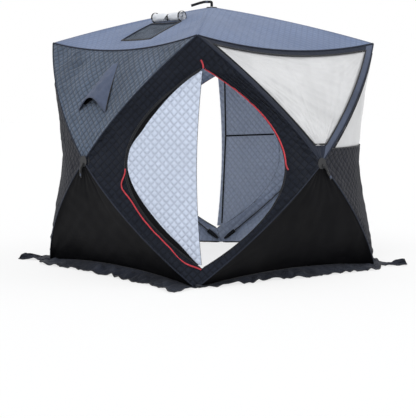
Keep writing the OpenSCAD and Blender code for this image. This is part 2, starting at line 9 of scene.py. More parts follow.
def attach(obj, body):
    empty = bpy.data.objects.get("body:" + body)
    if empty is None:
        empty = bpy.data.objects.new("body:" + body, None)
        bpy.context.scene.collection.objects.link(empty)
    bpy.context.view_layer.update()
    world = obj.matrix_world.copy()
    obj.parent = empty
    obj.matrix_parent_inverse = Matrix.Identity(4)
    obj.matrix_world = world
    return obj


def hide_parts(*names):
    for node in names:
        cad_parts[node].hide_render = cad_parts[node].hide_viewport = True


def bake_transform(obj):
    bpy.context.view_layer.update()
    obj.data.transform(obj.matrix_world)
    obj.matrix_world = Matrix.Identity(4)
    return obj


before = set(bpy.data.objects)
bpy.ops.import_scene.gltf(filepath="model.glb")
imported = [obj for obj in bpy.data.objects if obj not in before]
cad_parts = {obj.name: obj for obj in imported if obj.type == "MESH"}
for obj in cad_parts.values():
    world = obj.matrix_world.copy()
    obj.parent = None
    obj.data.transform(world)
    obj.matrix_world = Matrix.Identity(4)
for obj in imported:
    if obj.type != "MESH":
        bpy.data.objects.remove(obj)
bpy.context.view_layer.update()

# ---- Camera ----
def aim_camera(place, yaw, pitch, roll, lens):
    ahead = Vector((math.cos(pitch) * math.cos(yaw), math.cos(pitch) * math.sin(yaw),
                    math.sin(pitch)))
    right = ahead.cross(Vector((0, 0, 1))).normalized()
    up = right.cross(ahead)
    tilt_right = right * math.cos(roll) + up * math.sin(roll)
    tilt_up = up * math.cos(roll) - right * math.sin(roll)
    camera = bpy.data.objects.new("camera", bpy.data.cameras.new("camera"))
    camera.data.lens = lens
    camera.data.sensor_width = 36
    turned = Matrix((tilt_right, tilt_up, -ahead)).transposed().to_4x4()
    camera.matrix_world = Matrix.Translation(place) @ turned
    bpy.context.scene.collection.objects.link(camera)
    bpy.context.scene.camera = camera


aim_camera((-5.930, -6.926, 1.304), 0.865, -0.097, 0.005, 101.0)

# ---- The hut's sizes, in metres ----
BASE_HALF, EAVE_HALF = 0.900, 0.875
EAVE_HEIGHT, HUB_HEIGHT = 1.700, 0.830
UPPER_RISE = EAVE_HEIGHT - HUB_HEIGHT
HUB = np.array([0, -1.192, HUB_HEIGHT])
EAVE_CORNER = np.array([EAVE_HALF, -EAVE_HALF, EAVE_HEIGHT])
BASE_CORNER = np.array([BASE_HALF, -BASE_HALF, 0])
PEAK = np.array([0, 0, 1.975])
POLE_BOW, ROOF_BOW = 0.075, 0.020
EAVE_SAG, EAVE_DRAW, BASE_RISE, WALL_DRAW = 0.080, 0.010, 0.055, 0.015
CORNER_DRAW, CORNER_POWER = 0.115, 1.3
HUB_HOLE_HALF = 0.025
DOOR_LOW, DOOR_TOP, DOOR_HALF, DOOR_LEAN, DOOR_SHIFT = 0.130, 1.480, 0.588, 20, 0.038
DOOR_MIDDLE, DOOR_RISE = (DOOR_TOP + DOOR_LOW) / 2, (DOOR_TOP - DOOR_LOW) / 2
FABRIC, THIN_FILM = 0.006, 0.0012
QUILT_STITCH, LINING_STITCH = 0.042, 0.042

WALL_FRONT, WALL_RIGHT, WALL_BACK, WALL_LEFT = range(4)


# ---- Points and seams, the same as the solid model's ----
def hump(t):
    return 4 * t * (1 - t)


def between(a, b, t):
    return a + (b - a) * np.asarray(t, float)[..., None]


def offset(p, x=0, y=0, z=0):
    return p + np.stack(np.broadcast_arrays(x, y, z), -1)


def turn(p, quarters):
    for _ in range(quarters):
        p = np.stack([-p[..., 1], p[..., 0], p[..., 2]], -1)
    return p


def heading(degrees):
    a = np.radians(degrees)
    return np.array([np.cos(a), np.sin(a), 0])


def smooth(x, low, high):
    t = np.clip((x - low) / (high - low), 0, 1)
    return t * t * (3 - 2 * t)


def wall_pole(t, up, side):
    p = between(HUB, EAVE_CORNER if up else BASE_CORNER, t)
    return offset(p * [side, 1, 1], y=-POLE_BOW * hump(t))


def roof_pole(t, side):
    return offset(between(PEAK, EAVE_CORNER * [side, 1, 1], t), z=ROOF_BOW * hump(t))


def roof_point(s, t):
    p = between(roof_pole(t, -1), roof_pole(t, 1), s)
    return offset(p, y=EAVE_DRAW * hump(s) * t * t, z=-EAVE_SAG * hump(s) * t * t)


def wall_top_point(s, t):
    p = between(wall_pole(t, True, -1), wall_pole(t, True, 1), s)
    return offset(p, y=hump(s) * (WALL_DRAW * hump(t) + EAVE_DRAW * t * t),
                  z=-EAVE_SAG * hump(s) * t * t)


def wall_base_point(s, t):
    p = between(wall_pole(t, False, -1), wall_pole(t, False, 1), s)
    return offset(p, y=hump(s) * WALL_DRAW * hump(t), z=BASE_RISE * hump(s) * t * t)


def corner_pole(v, side):
    """A corner's bordering pole; v runs from 1 at the roof to -1 at the ground."""
    t = np.abs(v)
    arms = [wall_pole(t, up, 1 if side < 0 else -1) for up in (True, False)]
    p = np.where(np.asarray(v)[..., None] > 0, *arms)
    return p if side < 0 else turn(p, 1)


def corner_line(z):
    pull = CORNER_DRAW * (1 - np.abs(2 * z / EAVE_HEIGHT - 1) ** CORNER_POWER)
    return between(BASE_CORNER, EAVE_CORNER, z / EAVE_HEIGHT) + pull[..., None] * heading(135)


def corner_point(v, x):
    left, right = corner_pole(v, -1), corner_pole(v, 1)
    middle = corner_line(left[..., 2])
    x = np.asarray(x)[..., None]
    return middle + x * (right - left) / 2 + x * x * ((left + right) / 2 - middle)


def pole_start(up):
    return HUB_HOLE_HALF / (EAVE_HALF if up else BASE_HALF)


FOLD = (corner_line(np.array(DOOR_TOP)) + corner_line(np.array(DOOR_LOW))) / 2
FOLD = FOLD * [1, 1, 0] + DOOR_SHIFT * heading(45)


def doorway_half(z):
    share = np.minimum(np.abs(z - DOOR_MIDDLE) / DOOR_RISE, 1)
    return DOOR_HALF * (1 - share ** 1.95) ** 0.97


def door_point(side, reach, z, depth=0.0):
    """A point of a door half: reach from the fold, and depth behind its plane."""
    along = heading(-45 + side * (90 + DOOR_LEAN))
    inward = -heading(-45 + side * DOOR_LEAN)
    p = np.stack(np.broadcast_arrays(FOLD[0], FOLD[1], z), -1)
    return p + np.asarray(reach)[..., None] * along + np.asarray(depth)[..., None] * inward


# ---- Soft relief: slow waves and creases, the same every time ----
def waves(p, size, seed):
    """Smooth noise from -1 to 1 over points p, with features about size across."""
    pick = np.random.default_rng(seed)
    total = np.zeros(p.shape[:-1])
    for _ in range(9):
        way = pick.normal(size=3)
        way *= pick.uniform(0.7, 1.6) * math.tau / size / np.linalg.norm(way)
        total += np.sin(p @ way + pick.uniform(0, math.tau))
    return total / 3.6


def creases(angle, reach, seed, count, width, length):
    """Ridges that run out from a point at chosen angles and fade with reach."""
    pick = np.random.default_rng(seed)
    total = np.zeros(angle.shape)
    low, high = angle.min(), angle.max()
    for i in range(count):
        at = low + (high - low) * (i + pick.uniform(0.25, 0.75)) / count
        fade = length * pick.uniform(0.6, 1.3)
        share = np.exp(-((angle - at) / (width * pick.uniform(0.7, 1.3))) ** 2)
        total += pick.uniform(0.5, 1) * share * np.exp(-reach / fade)
    return total


def from_point(p, centre, across, up):
    """Angle and distance of points p round a centre, in the plane of two directions."""
    d = p - np.asarray(centre, float)
    return np.arctan2(d @ np.asarray(up, float), d @ np.asarray(across, float)), \
        np.linalg.norm(d, axis=-1)


def pulls_from(corner, p, quarters, seed, count, width, length):
    """Creases that fan out from a corner, given on the front wall, and the distance
    from it."""
    inwards = (-math.copysign(1, corner[0]), 0, 0)
    angle, far = from_point(turn(p, 4 - quarters), corner, inwards, (0, 0, 1))
    return creases(angle, far, seed, count, width, length), far


# ---- Making a piece ----
def steps(*stops):
    """Even stations between stops: steps(0, 8, 0.2) is 8 steps from 0 to 0.2."""
    values = [stops[0]]
    for count, end in zip(stops[1::2], stops[2::2]):
        start = values[-1]
        values += [start + (end - start) * (i + 1) / count for i in range(count)]
    return np.array(values)


def finish_piece(name, mesh, body, cloths):
    for cloth in cloths:
        mesh.materials.append(cloth)
    mesh.polygons.foreach_set("use_smooth", [True] * len(mesh.polygons))
    piece = bpy.data.objects.new(name, mesh)
    bpy.context.scene.collection.objects.link(piece)
    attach(piece, body)
    return piece


def loft(name, place, us, vs, cloths, body="hut", lift=None, cut=None,
         hole=None, thickness=FABRIC, backed=False, zone=None):
    """A cloth: a grid of us by vs stations, laid along place(u, v). lift raises it
    along its outward side, cut gives its flat pattern in metres, hole(u, v) is left
    open, backed gives its inner side the next material, and zone(u, v) picks the
    outer side's material."""
    across, up = len(us) - 1, len(vs) - 1
    bm = bmesh.new()
    bmesh.ops.create_grid(bm, x_segments=across, y_segments=up, size=0.5)
    if hole:
        def open_at(face):
            x, y = face.calc_center_median()[:2]
            return hole(np.interp((x + 0.5) * across, range(across + 1), us),
                        np.interp((y + 0.5) * up, range(up + 1), vs))
        gone = [face for face in bm.faces if open_at(face)]
        bmesh.ops.delete(bm, geom=gone, context="FACES")
    mesh = bpy.data.meshes.new(name)
    bm.to_mesh(mesh)
    bm.free()
    co = np.zeros(len(mesh.vertices) * 3)
    mesh.vertices.foreach_get("co", co)
    co = co.reshape(-1, 3)
    u = np.asarray(us)[np.rint((co[:, 0] + 0.5) * across).astype(int)]
    v = np.asarray(vs)[np.rint((co[:, 1] + 0.5) * up).astype(int)]
    laid = place(u, v)
    p = laid
    if lift:
        e = 2e-3
        du = place(u + e, v) - place(u - e, v)
        dv = place(u, v + e) - place(u, v - e)
        normal = np.cross(du, dv)
        normal /= np.maximum(np.linalg.norm(normal, axis=1), 1e-12)[:, None]
        p = p + normal * lift(u, v, p)[:, None]
    mesh.vertices.foreach_set("co", p.ravel())
    pattern = cut(u, v, laid) if cut else np.stack([u, v], 1)
    corners = np.zeros(len(mesh.loops), int)
    mesh.loops.foreach_get("vertex_index", corners)
    mesh.uv_layers.new(name="cut").data.foreach_set("uv", pattern[corners].ravel())
    if zone:
        for face in mesh.polygons:
            corner = list(face.vertices)
            face.material_index = zone(u[corner].mean(), v[corner].mean())
    mesh.update()
    piece = finish_piece(name, mesh, body, cloths)
    if thickness:
        solid = piece.modifiers.new("thickness", "SOLIDIFY")
        solid.thickness = thickness
        solid.offset = -1
        solid.material_offset = 1 if backed else 0
        solid.material_offset_rim = 0
    return piece


# ---- Materials ----
def tone(red, green, blue):
    """A colour given as 0 to 255 display values."""
    def linear(c):
        c /= 255
        return c / 12.92 if c <= 0.04045 else ((c + 0.055) / 1.055) ** 2.4
    return (linear(red), linear(green), linear(blue), 1)


def shade(colour, share):
    return tuple(min(c * share, 1) for c in colour[:3]) + (1,)


class Thread:
    """A value in a material's nodes. Python's operators add Math nodes to it."""

    def __init__(self, dye, socket):
        self.dye, self.socket = dye, socket

    def math(self, operation, *values):
        return self.dye.node("ShaderNodeMath", {"operation": operation},
                             dict(enumerate(values)))

    def __add__(self, other):
        return self.math("ADD", self, other)

    def __sub__(self, other):
        return self.math("SUBTRACT", self, other)

    def __rsub__(self, other):
        return self.math("SUBTRACT", other, self)

    def __mul__(self, other):
        return self.math("MULTIPLY", self, other)

    def __pow__(self, other):
        return self.math("POWER", self, other)

    def __abs__(self):
        return self.math("ABSOLUTE", self)

    __radd__, __rmul__ = __add__, __mul__

    def sine(self):
        return self.math("SINE", self)

    def least(self, other):
        return self.math("MINIMUM", self, other)

    def most(self, other):
        return self.math("MAXIMUM", self, other)

    def rise(self, low, high):
        """0 below low, 1 above high, smooth between."""
        return self.dye.node("ShaderNodeMapRange", {"interpolation_type": "SMOOTHSTEP"},
                             {"Value": self, "From Min": low, "From Max": high})


class Dye:
    """One material and its nodes."""

    def __init__(self, name):
        self.material = bpy.data.materials.new(name)
        self.material.use_nodes = True
        self.tree = self.material.node_tree
        self.tree.nodes.clear()

    def node(self, kind, settings=(), sockets=(), output=0):
        made = self.tree.nodes.new(kind)
        for key, value in dict(settings).items():
            if key == "stops":
                ramp = made.color_ramp.elements
                while len(ramp) < len(value):
                    ramp.new(0.5)
                for stop, (at, colour) in zip(ramp, value):
                    stop.position, stop.color = at, colour
            else:
                setattr(made, key, value)
        for key, value in dict(sockets).items():
            if isinstance(value, Thread):
                self.tree.links.new(value.socket, made.inputs[key])
            else:
                made.inputs[key].default_value = value
        return Thread(self, made.outputs[output]) if made.outputs else None

    def cut(self):
        """The flat pattern's two coordinates, in metres."""
        split = self.node("ShaderNodeSeparateXYZ", (), {
            0: self.node("ShaderNodeUVMap", {"uv_map": "cut"})})
        return split, Thread(self, split.socket.node.outputs[1])

    def place(self):
        return self.node("ShaderNodeTexCoord", output=3)

    def noise(self, size, detail=2, stretch=None):
        where = self.place()
        if stretch:
            where = self.node("ShaderNodeMapping", (), {"Vector": where, "Scale": stretch})
        return self.node("ShaderNodeTexNoise", (), {
            "Vector": where, "Scale": 1 / size, "Detail": detail})

    def mixed(self, first, second, share):
        return self.node("ShaderNodeMix", {"data_type": "RGBA"},
                         {0: share, 6: first, 7: second}, output=2)

    def bump(self, height, distance, strength=1.0):
        return self.node("ShaderNodeBump", (), {
            "Height": height, "Distance": distance, "Strength": strength})

    def surface(self, **sockets):
        names = {"colour": "Base Color", "rough": "Roughness",
                 "alpha": "Alpha", "normal": "Normal", "coat": "Coat Weight",
                 "coat_rough": "Coat Roughness", "sheen": "Sheen Weight",
                 "sheen_rough": "Sheen Roughness", "gloss": "Specular IOR Level"}
        shader = self.node("ShaderNodeBsdfPrincipled", (),
                           {names[key]: value for key, value in sockets.items()})
        self.node("ShaderNodeOutputMaterial", (), {"Surface": shader})
        return self.material


def quilted_cloth(name, colour, stitch, seam_and_valley_shade, swing, depth, roughness, gloss=0.3,
                  sheen=0.15):
    """Quilting sewn in diamonds: puffed cells, sunk seams with painted shade in the valleys
    beside them, dashes of thread, a fine weave, and slow changes of colour where the cloth is
    creased or worn."""
    dye = Dye(name)
    x, y = dye.cut()
    one, other = (x + y) * (0.7071 / stitch), (x - y) * (0.7071 / stitch)
    side_one, side_other = abs((one * math.pi).sine()), abs((other * math.pi).sine())
    puff = (side_one * side_other) ** 0.45
    near_one, near_other = 1 - side_one.rise(0.03, 0.2), 1 - side_other.rise(0.03, 0.2)
    valley_shade = 1 - side_one.least(side_other).rise(0.0, 0.62)
    dash_one = (other * (math.tau * 7)).sine().rise(-0.2, 0.2)
    dash_other = (one * (math.tau * 7)).sine().rise(-0.2, 0.2)
    thread = (near_one * dash_one).most(near_other * dash_other)
    seam = near_one.most(near_other)
    weave = (x * (math.tau / 0.0016)).sine() * (y * (math.tau / 0.0016)).sine()
    slow, fine = dye.noise(0.35, 3), dye.noise(0.012, 4)
    crush = dye.noise(0.05, 3)
    share = slow.rise(0.3, 0.72) * 0.75 + crush.rise(0.35, 0.7) * 0.25
    ground = dye.mixed(shade(colour, 1 - swing), shade(colour, 1 + swing), share)
    # Darker towards the seams: four fifths painted shade in the valleys between the puffed cells,
    # one fifth the darker seam line itself.
    ground = dye.mixed(ground, shade(colour, seam_and_valley_shade), valley_shade * 0.8 + seam * 0.2)
    ground = dye.mixed(ground, shade(colour, 1.18), thread * 0.22)
    ground = dye.mixed(ground, shade(colour, 0.9), fine.rise(0.45, 0.75) * 0.5)
    height = puff * 1.0 + crush * 0.5 + thread * 0.05 + weave * 0.015
    return dye.surface(colour=ground, rough=fine * 0.16 + (roughness - 0.08),
                       sheen=sheen, gloss=gloss, normal=dye.bump(height, depth))


def plain_cloth(name, colour, swing, roughness, weave_size, crush_size=0.06, crush=0.002,
                gloss=0.35, sheen=0.1):
    """Woven cloth without quilting: ripstop weave, soft crush marks and faint dust."""
    dye = Dye(name)
    x, y = dye.cut()
    warp = abs((x * (math.pi / weave_size)).sine())
    weft = abs((y * (math.pi / weave_size)).sine())
    weave = warp.least(weft)
    slow, marks = dye.noise(0.4, 3), dye.noise(crush_size, 3)
    dust = dye.noise(0.02, 5)
    ground = dye.mixed(shade(colour, 1 - swing), shade(colour, 1 + swing),
                       slow.rise(0.3, 0.7) * 0.7 + marks.rise(0.3, 0.75) * 0.3)
    ground = dye.mixed(ground, shade(colour, 1.35), dust.rise(0.6, 0.85) * 0.35)
    height = marks * 1.0 + weave * 0.06 + dust * 0.04
    return dye.surface(colour=ground, rough=marks * 0.2 + (roughness - 0.1), sheen=sheen,
                       gloss=gloss, normal=dye.bump(height, crush))


def webbing(name, colour, pitch=0.0024):
    """Woven tape: a herringbone of ribs across, with stitched, slightly fuzzy edges."""
    dye = Dye(name)
    x, y = dye.cut()
    rib = abs(((x + abs(y) * 0.8) * (math.pi / pitch)).sine())
    edge = abs((y * (math.pi / 0.004)).sine())
    fuzz = dye.noise(0.006, 4)
    # Darker in the grooves between the ribs and lighter on their tops: painted shade and painted
    # highlight; the fuzz share is random tone.
    ground = dye.mixed(shade(colour, 0.7), shade(colour, 1.25), rib * 0.6 + fuzz * 0.4)
    return dye.surface(colour=ground, rough=fuzz * 0.2 + 0.62, sheen=0.15, gloss=0.3,
                       normal=dye.bump(rib * 0.7 + edge * 0.2 + fuzz * 0.4, 0.0012))


def zip_tape(name, colour):
    """Knitted zip tape with a coil of teeth along its middle."""
    dye = Dye(name)
    x, y = dye.cut()
    coil = 1 - abs(y).rise(0.0022, 0.0034)
    tooth = abs((x * (math.pi / 0.0032)).sine())
    knit = abs((x * (math.pi / 0.0014)).sine()) * abs((y * (math.pi / 0.0011)).sine())
    worn = dye.noise(0.05, 4)
    ground = dye.mixed(shade(colour, 0.82), shade(colour, 1.12), worn.rise(0.3, 0.7))
    # Darker between the teeth along the coil: painted shade in the gaps.
    ground = dye.mixed(ground, shade(colour, 0.42), coil * (1 - tooth) * 0.8)
    return dye.surface(colour=ground, rough=0.72 - coil * 0.3, gloss=0.35, sheen=0.1,
                       normal=dye.bump(coil * tooth * 0.9 + knit * 0.15 + coil * 0.5, 0.0016))


def milky_film(name, colour):
    """Frosted window film: nearly opaque, with ripples, a faint haze and gloss."""
    dye = Dye(name)
    haze, ripple = dye.noise(0.3, 3), dye.noise(0.045, 3)
    scuff = dye.noise(0.004, 5, stretch=(1, 1, 0.2))
    ground = dye.mixed(shade(colour, 0.92), shade(colour, 1.05), haze.rise(0.3, 0.7))
    ground = dye.mixed(ground, shade(colour, 0.9), ripple.rise(0.5, 0.8) * 0.4)
    return dye.surface(colour=ground, rough=scuff * 0.16 + 0.24, gloss=0.5,
                       alpha=haze * 0.06 + 0.9, coat=0.35, coat_rough=0.2,
                       normal=dye.bump(haze * 0.6 + ripple * 0.5 + scuff * 0.03, 0.004))


def mesh_screen(name, colour):
    """Knitted fly mesh: round holes in rows, partly see-through."""
    dye = Dye(name)
    x, y = dye.cut()
    hole = abs((x * (math.pi / 0.003)).sine()) * abs((y * (math.pi / 0.003)).sine())
    slack = dye.noise(0.08, 3)
    ground = dye.mixed(shade(colour, 0.75), shade(colour, 1.2), slack.rise(0.3, 0.7))
    # Darker in the holes: painted shade of the dark inside seen through them.
    ground = dye.mixed(ground, shade(colour, 0.5), hole.rise(0.5, 0.8) * 0.5)
    return dye.surface(colour=ground, rough=slack * 0.1 + 0.8, gloss=0.2,
                       alpha=1 - hole.rise(0.45, 0.7) * 0.35,
                       normal=dye.bump((1 - hole) * 0.5 + slack * 0.6, 0.0015))


def moulded_plastic(name, colour, roughness):
    """Injection-moulded plastic: fine spark texture, rubbed lighter in places."""
    dye = Dye(name)
    grain, rub = dye.noise(0.0016, 4), dye.noise(0.03, 4)
    ground = dye.mixed(colour, shade(colour, 2.2), rub.rise(0.58, 0.8) * 0.5)
    return dye.surface(colour=ground, rough=grain * 0.14 + (roughness - 0.07) + rub * 0.05,
                       gloss=0.5, normal=dye.bump(grain * 0.4 + rub * 0.15, 0.0005))


def pole_glaze(name, colour):
    """Pultruded glass-fibre rod: fibres along its length under a thin gloss coat."""
    dye = Dye(name)
    fibre = dye.noise(0.004, 4, stretch=(1, 1, 0.08))
    scuff = dye.noise(0.02, 5)
    ground = dye.mixed(shade(colour, 0.7), shade(colour, 1.9), fibre.rise(0.35, 0.7))
    return dye.surface(colour=ground, rough=scuff * 0.22 + 0.22, coat=0.4, coat_rough=0.15,
                       normal=dye.bump(fibre * 0.3 + scuff * 0.1, 0.0004))


ROOF_TONE, WALL_TONE, DARK_TONE = tone(110, 125, 156), tone(84, 96, 114), tone(29, 33, 43)
CHARCOAL_TONE, BLACK_TONE = tone(44, 45, 52), tone(11, 11, 14)
roof_quilt = quilted_cloth("blue_grey_quilt", ROOF_TONE, QUILT_STITCH, 0.84, 0.10, 0.003, 0.8)
wall_quilt = quilted_cloth("slate_quilt", WALL_TONE, QUILT_STITCH, 0.42, 0.26, 0.010, 0.82,
                           gloss=0.15)
dark_quilt = quilted_cloth("dark_quilt", DARK_TONE, QUILT_STITCH, 0.55, 0.2, 0.008, 0.8,
                           gloss=0.12, sheen=0.05)
charcoal_quilt = quilted_cloth("charcoal_quilt", CHARCOAL_TONE, QUILT_STITCH, 0.5, 0.24,
                               0.008, 0.82, gloss=0.12, sheen=0.05)
silver_lining = quilted_cloth("silver_lining", tone(204, 214, 233), LINING_STITCH, 0.86,
                              0.06, 0.009, 0.5, gloss=0.5, sheen=0.0)
black_cloth = plain_cloth("black_coated_cloth", BLACK_TONE, 0.2, 0.68, 0.004, 0.12, 0.003,
                          gloss=0.10, sheen=0.0)
navy_cloth = plain_cloth("navy_strip_cloth", tone(76, 84, 103), 0.25, 0.7, 0.004, 0.05, 0.004,
                         gloss=0.2)
hood_cloth = plain_cloth("hood_cloth", tone(84, 93, 114), 0.2, 0.8, 0.004, 0.03, 0.005,
                         gloss=0.15)
deep_navy_cloth = plain_cloth("deep_navy_cloth", tone(38, 43, 56), 0.25, 0.7, 0.004, 0.04,
                              0.005, gloss=0.15, sheen=0.05)
binding_cloth = webbing("black_binding", tone(20, 22, 28))
skirt_cloth = plain_cloth("skirt_cloth", tone(33, 37, 48), 0.35, 0.66, 0.004, 0.05, 0.010,
                          gloss=0.2, sheen=0.05)
strap_cloth = webbing("black_webbing", tone(18, 19, 23))
cover_cloth = plain_cloth("white_cover_cloth", tone(226, 229, 234), 0.05, 0.7, 0.004, 0.03, 0.004)
red_zip = zip_tape("red_zip", tone(226, 66, 78))
window_film = milky_film("milky_film", tone(212, 212, 213))
screen_mesh = mesh_screen("roof_mesh", tone(92, 100, 112))
hub_plastic = moulded_plastic("hub_plastic", tone(30, 31, 34), 0.5)
rod_glaze = pole_glaze("pole_glaze", tone(30, 31, 34))


# ---- Shared shapes ----
def seam_mask(*distances, soft=0.05):
    return smooth(np.minimum.reduce([np.asarray(d) for d in distances]), 0, soft)


def eave_width(t):
    return 2 * t * EAVE_HALF


def cut_from_seams(width_of, length):
    """A panel's flat pattern: x across from its middle and y along it."""
    def cut(u, v, p):
        return np.stack([(u - 0.5) * width_of(v), v * length], 1)
    return cut


def ring(count, power=1.0):
    """A closed cross-section of half width 1 and half thickness 1."""
    a = np.linspace(0, math.tau, count + 1)
    c, s = np.cos(a), np.sin(a)
    return np.sign(c) * np.abs(c) ** power, np.sign(s) * np.abs(s) ** power


def band(name, runs, cloths, width, thick, body="hut", sides=8,
         power=0.6, wave=None):
    """Tapes, cords and bindings. Each run is (points, outward directions); the
    section is width wide and thick high, and wave(along) scales its height."""
    full = bmesh.new()
    full.loops.layers.uv.new("cut")
    for points, outward in runs:
        points = np.asarray(points, float)
        outward = np.broadcast_to(np.asarray(outward, float), points.shape)
        tangent = np.gradient(points, axis=0)
        tangent /= np.linalg.norm(tangent, axis=1)[:, None]
        side = np.cross(outward, tangent)
        side /= np.linalg.norm(side, axis=1)[:, None]
        out = np.cross(tangent, side)
        along = np.concatenate([[0], np.cumsum(np.linalg.norm(np.diff(points, axis=0), axis=1))])
        flat, high = ring(sides, power)
        widths = np.broadcast_to(np.asarray(width, float), len(points))
        bm = bmesh.new()
        uv = bm.loops.layers.uv.new("cut")
        rows = len(points) - 1
        bmesh.ops.create_grid(bm, x_segments=sides, y_segments=rows, size=0.5)
        for vert in bm.verts:
            i, j = round((vert.co.x + 0.5) * sides), round((vert.co.y + 0.5) * rows)
            for loop in vert.link_loops:
                loop[uv].uv = (along[j], flat[i] * widths[j] / 2)
            rise = thick / 2 * (wave(along[j]) if wave else 1)
            vert.co = points[j] + side[j] * flat[i] * widths[j] / 2 + out[j] * high[i] * rise
        bmesh.ops.remove_doubles(bm, verts=bm.verts, dist=1e-6)
        bmesh.ops.holes_fill(bm, edges=[e for e in bm.edges if e.is_boundary], sides=0)
        bmesh.ops.recalc_face_normals(bm, faces=bm.faces)
        spare = bpy.data.meshes.new("run")
        bm.to_mesh(spare)
        bm.free()
        full.from_mesh(spare)
        bpy.data.meshes.remove(spare)
    mesh = bpy.data.meshes.new(name)
    full.to_mesh(mesh)
    full.free()
    return finish_piece(name, mesh, body, cloths)


def lifted(place, amount, quarters=0):
    """Points of place(t) and their outward directions, raised by amount."""
    def run(t):
        p = place(np.asarray(t, float))
        out = p - np.array([0, 0, HUB_HEIGHT])
        out /= np.linalg.norm(out, axis=-1)[..., None]
        return turn(p + out * amount, quarters), turn(out, quarters)
    return run


def all_round(place, amount, along):
    """One run on each of the four sides."""
    return [lifted(place, amount, k)(along) for k in range(4)]


def upright_run(place, u, ends, count, amount, quarters=0):
    """A run along place(u, v) at one u, from one v to another."""
    return lifted(lambda v: place(np.full_like(v, u), v), amount, quarters)(
        np.linspace(*ends, count))


def level_run(place, v, ends, count, amount, quarters=0):
    """A run along place(u, v) at one v, from one u to another."""
    return lifted(lambda u: place(u, np.full_like(u, v)), amount, quarters)(
        np.linspace(*ends, count))


def opening_runs(place, us, vs, count, amount, quarters):
    """Runs along the four edges of an opening between two values of u and two of v."""
    return [upright_run(place, u, vs, count, amount, quarters) for u in us] \
        + [level_run(place, v, us, count, amount, quarters) for v in vs]


def sunk(p, depth):
    out = p - np.array([0, 0, HUB_HEIGHT])
    return p - depth * out / np.linalg.norm(out, axis=-1)[..., None]


UP_START, DOWN_START = pole_start(True), pole_start(False)
UP_LENGTH = float(np.linalg.norm((HUB - EAVE_CORNER)[1:]))
DOWN_LENGTH = float(np.linalg.norm((HUB - BASE_CORNER)[1:]))
ROOF_LENGTH = float(np.linalg.norm((PEAK - EAVE_CORNER)[1:]))
SIDES = ("front", "right", "back", "left")


# ---- Roof ----
def roof_relief(seed):
    def lift(s, t, p):
        width = eave_width(t)
        mask = seam_mask(np.minimum(s, 1 - s) * width, (1 - t) * ROOF_LENGTH, soft=0.07)
        tension = creases(s, t * ROOF_LENGTH, seed, 7, 0.035, 0.35) * 0.005
        left_corner, left_far = from_point(p, p[np.argmin(s - t)], (1, 0, 0), (0, 1, 0))
        pulls = creases(left_corner, left_far, seed + 5, 6, 0.05, 0.22) * 0.004
        return mask * (waves(p, 0.55, seed) * 0.006 + waves(p, 0.16, seed + 1) * 0.0016
                       + tension + pulls)
    return lift


WINDOW_HALF, WINDOW_NEAR, WINDOW_FAR = 0.175, 0.5143, 0.8381


def roof_window_share(u, t):
    """Columns of the left roof panel: its middle third is the window's width."""
    edge = 0.5 - WINDOW_HALF / (2 * EAVE_HALF * np.maximum(t, 0.4))
    return np.where(u < 1 / 3, u * 3 * edge,
                    np.where(u > 2 / 3, 1 - (1 - u) * 3 * edge,
                             edge + (u - 1 / 3) * 3 * (1 - 2 * edge)))


def in_roof_window(u, t):
    return 1 / 3 < u < 2 / 3 and WINDOW_NEAR < t < WINDOW_FAR


def make_roof():
    cut = cut_from_seams(eave_width, ROOF_LENGTH)
    for k, side in enumerate(SIDES):
        if k == WALL_LEFT:
            us = steps(0, 20, 1 / 3, 12, 2 / 3, 20, 1)
            ts = steps(1, 8, WINDOW_FAR, 14, WINDOW_NEAR, 20, UP_START)
            def place(u, t, k=k):
                return turn(roof_point(roof_window_share(u, t), t), k)
            def lift(u, t, p, k=k):
                beside = (np.abs(u - 0.5) * 3 - 0.5) * 2 * WINDOW_HALF
                calm = smooth(np.maximum(beside, np.maximum(t - WINDOW_FAR, WINDOW_NEAR - t)),
                              0, 0.05)
                return roof_relief(70)(roof_window_share(u, t), t, p) * calm
            def pattern(u, t, p):
                return cut(roof_window_share(u, t), t, p)
            piece = loft("roof_left_cloth", place, us, ts, [roof_quilt, silver_lining],
                         lift=lift, cut=pattern,
                         hole=in_roof_window, backed=True)
        else:
            def place(s, t, k=k):
                return turn(roof_point(s, t), k)
            piece = loft(f"roof_{side}_cloth", place, steps(0, 64, 1), steps(1, 46, UP_START),
                         [roof_quilt, silver_lining],
                         lift=roof_relief(40 + k), cut=cut, backed=True)
        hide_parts(f"roof_{side}")
    # Piping along the four roof seams and round the eave
    runs = all_round(lambda t: roof_pole(t, 1), 0.0, np.linspace(0.03, 0.995, 50))
    band("roof_seam_piping", runs, [roof_quilt], 0.007, 0.003)
    runs = all_round(lambda s: wall_top_point(s, np.ones_like(s)), 0.003,
                     np.linspace(0.004, 0.996, 70))
    band("eave_piping", runs, [deep_navy_cloth], 0.011, 0.007)


def make_roof_window():
    def place(u, t):
        s = roof_window_share(u, t)
        p = sunk(roof_point(s, t), 0.004)
        slack = hump(np.clip((u - 1 / 3) * 3, 0, 1)) * hump(
            np.clip((t - WINDOW_NEAR) / (WINDOW_FAR - WINDOW_NEAR), 0, 1))
        return turn(offset(p, z=-0.010 * slack), WALL_LEFT)
    def cut(u, t, p):
        return np.stack([(u - 0.5) * 6 * WINDOW_HALF, t * ROOF_LENGTH], 1)
    mesh_piece = loft("roof_window_screen", place, steps(0.325, 24, 0.675),
                      steps(WINDOW_FAR + 0.008, 24, WINDOW_NEAR - 0.008), [screen_mesh],
                      cut=cut, thickness=THIN_FILM,
                      lift=lambda u, t, p: waves(p, 0.09, 8) * 0.0015)
    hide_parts("roof_window_mesh")
    runs = opening_runs(lambda u, t: roof_point(roof_window_share(u, t), t), (1 / 3, 2 / 3),
                        (WINDOW_NEAR, WINDOW_FAR), 16, 0.0025, WALL_LEFT)
    band("roof_window_binding", runs, [binding_cloth], 0.018, 0.004)


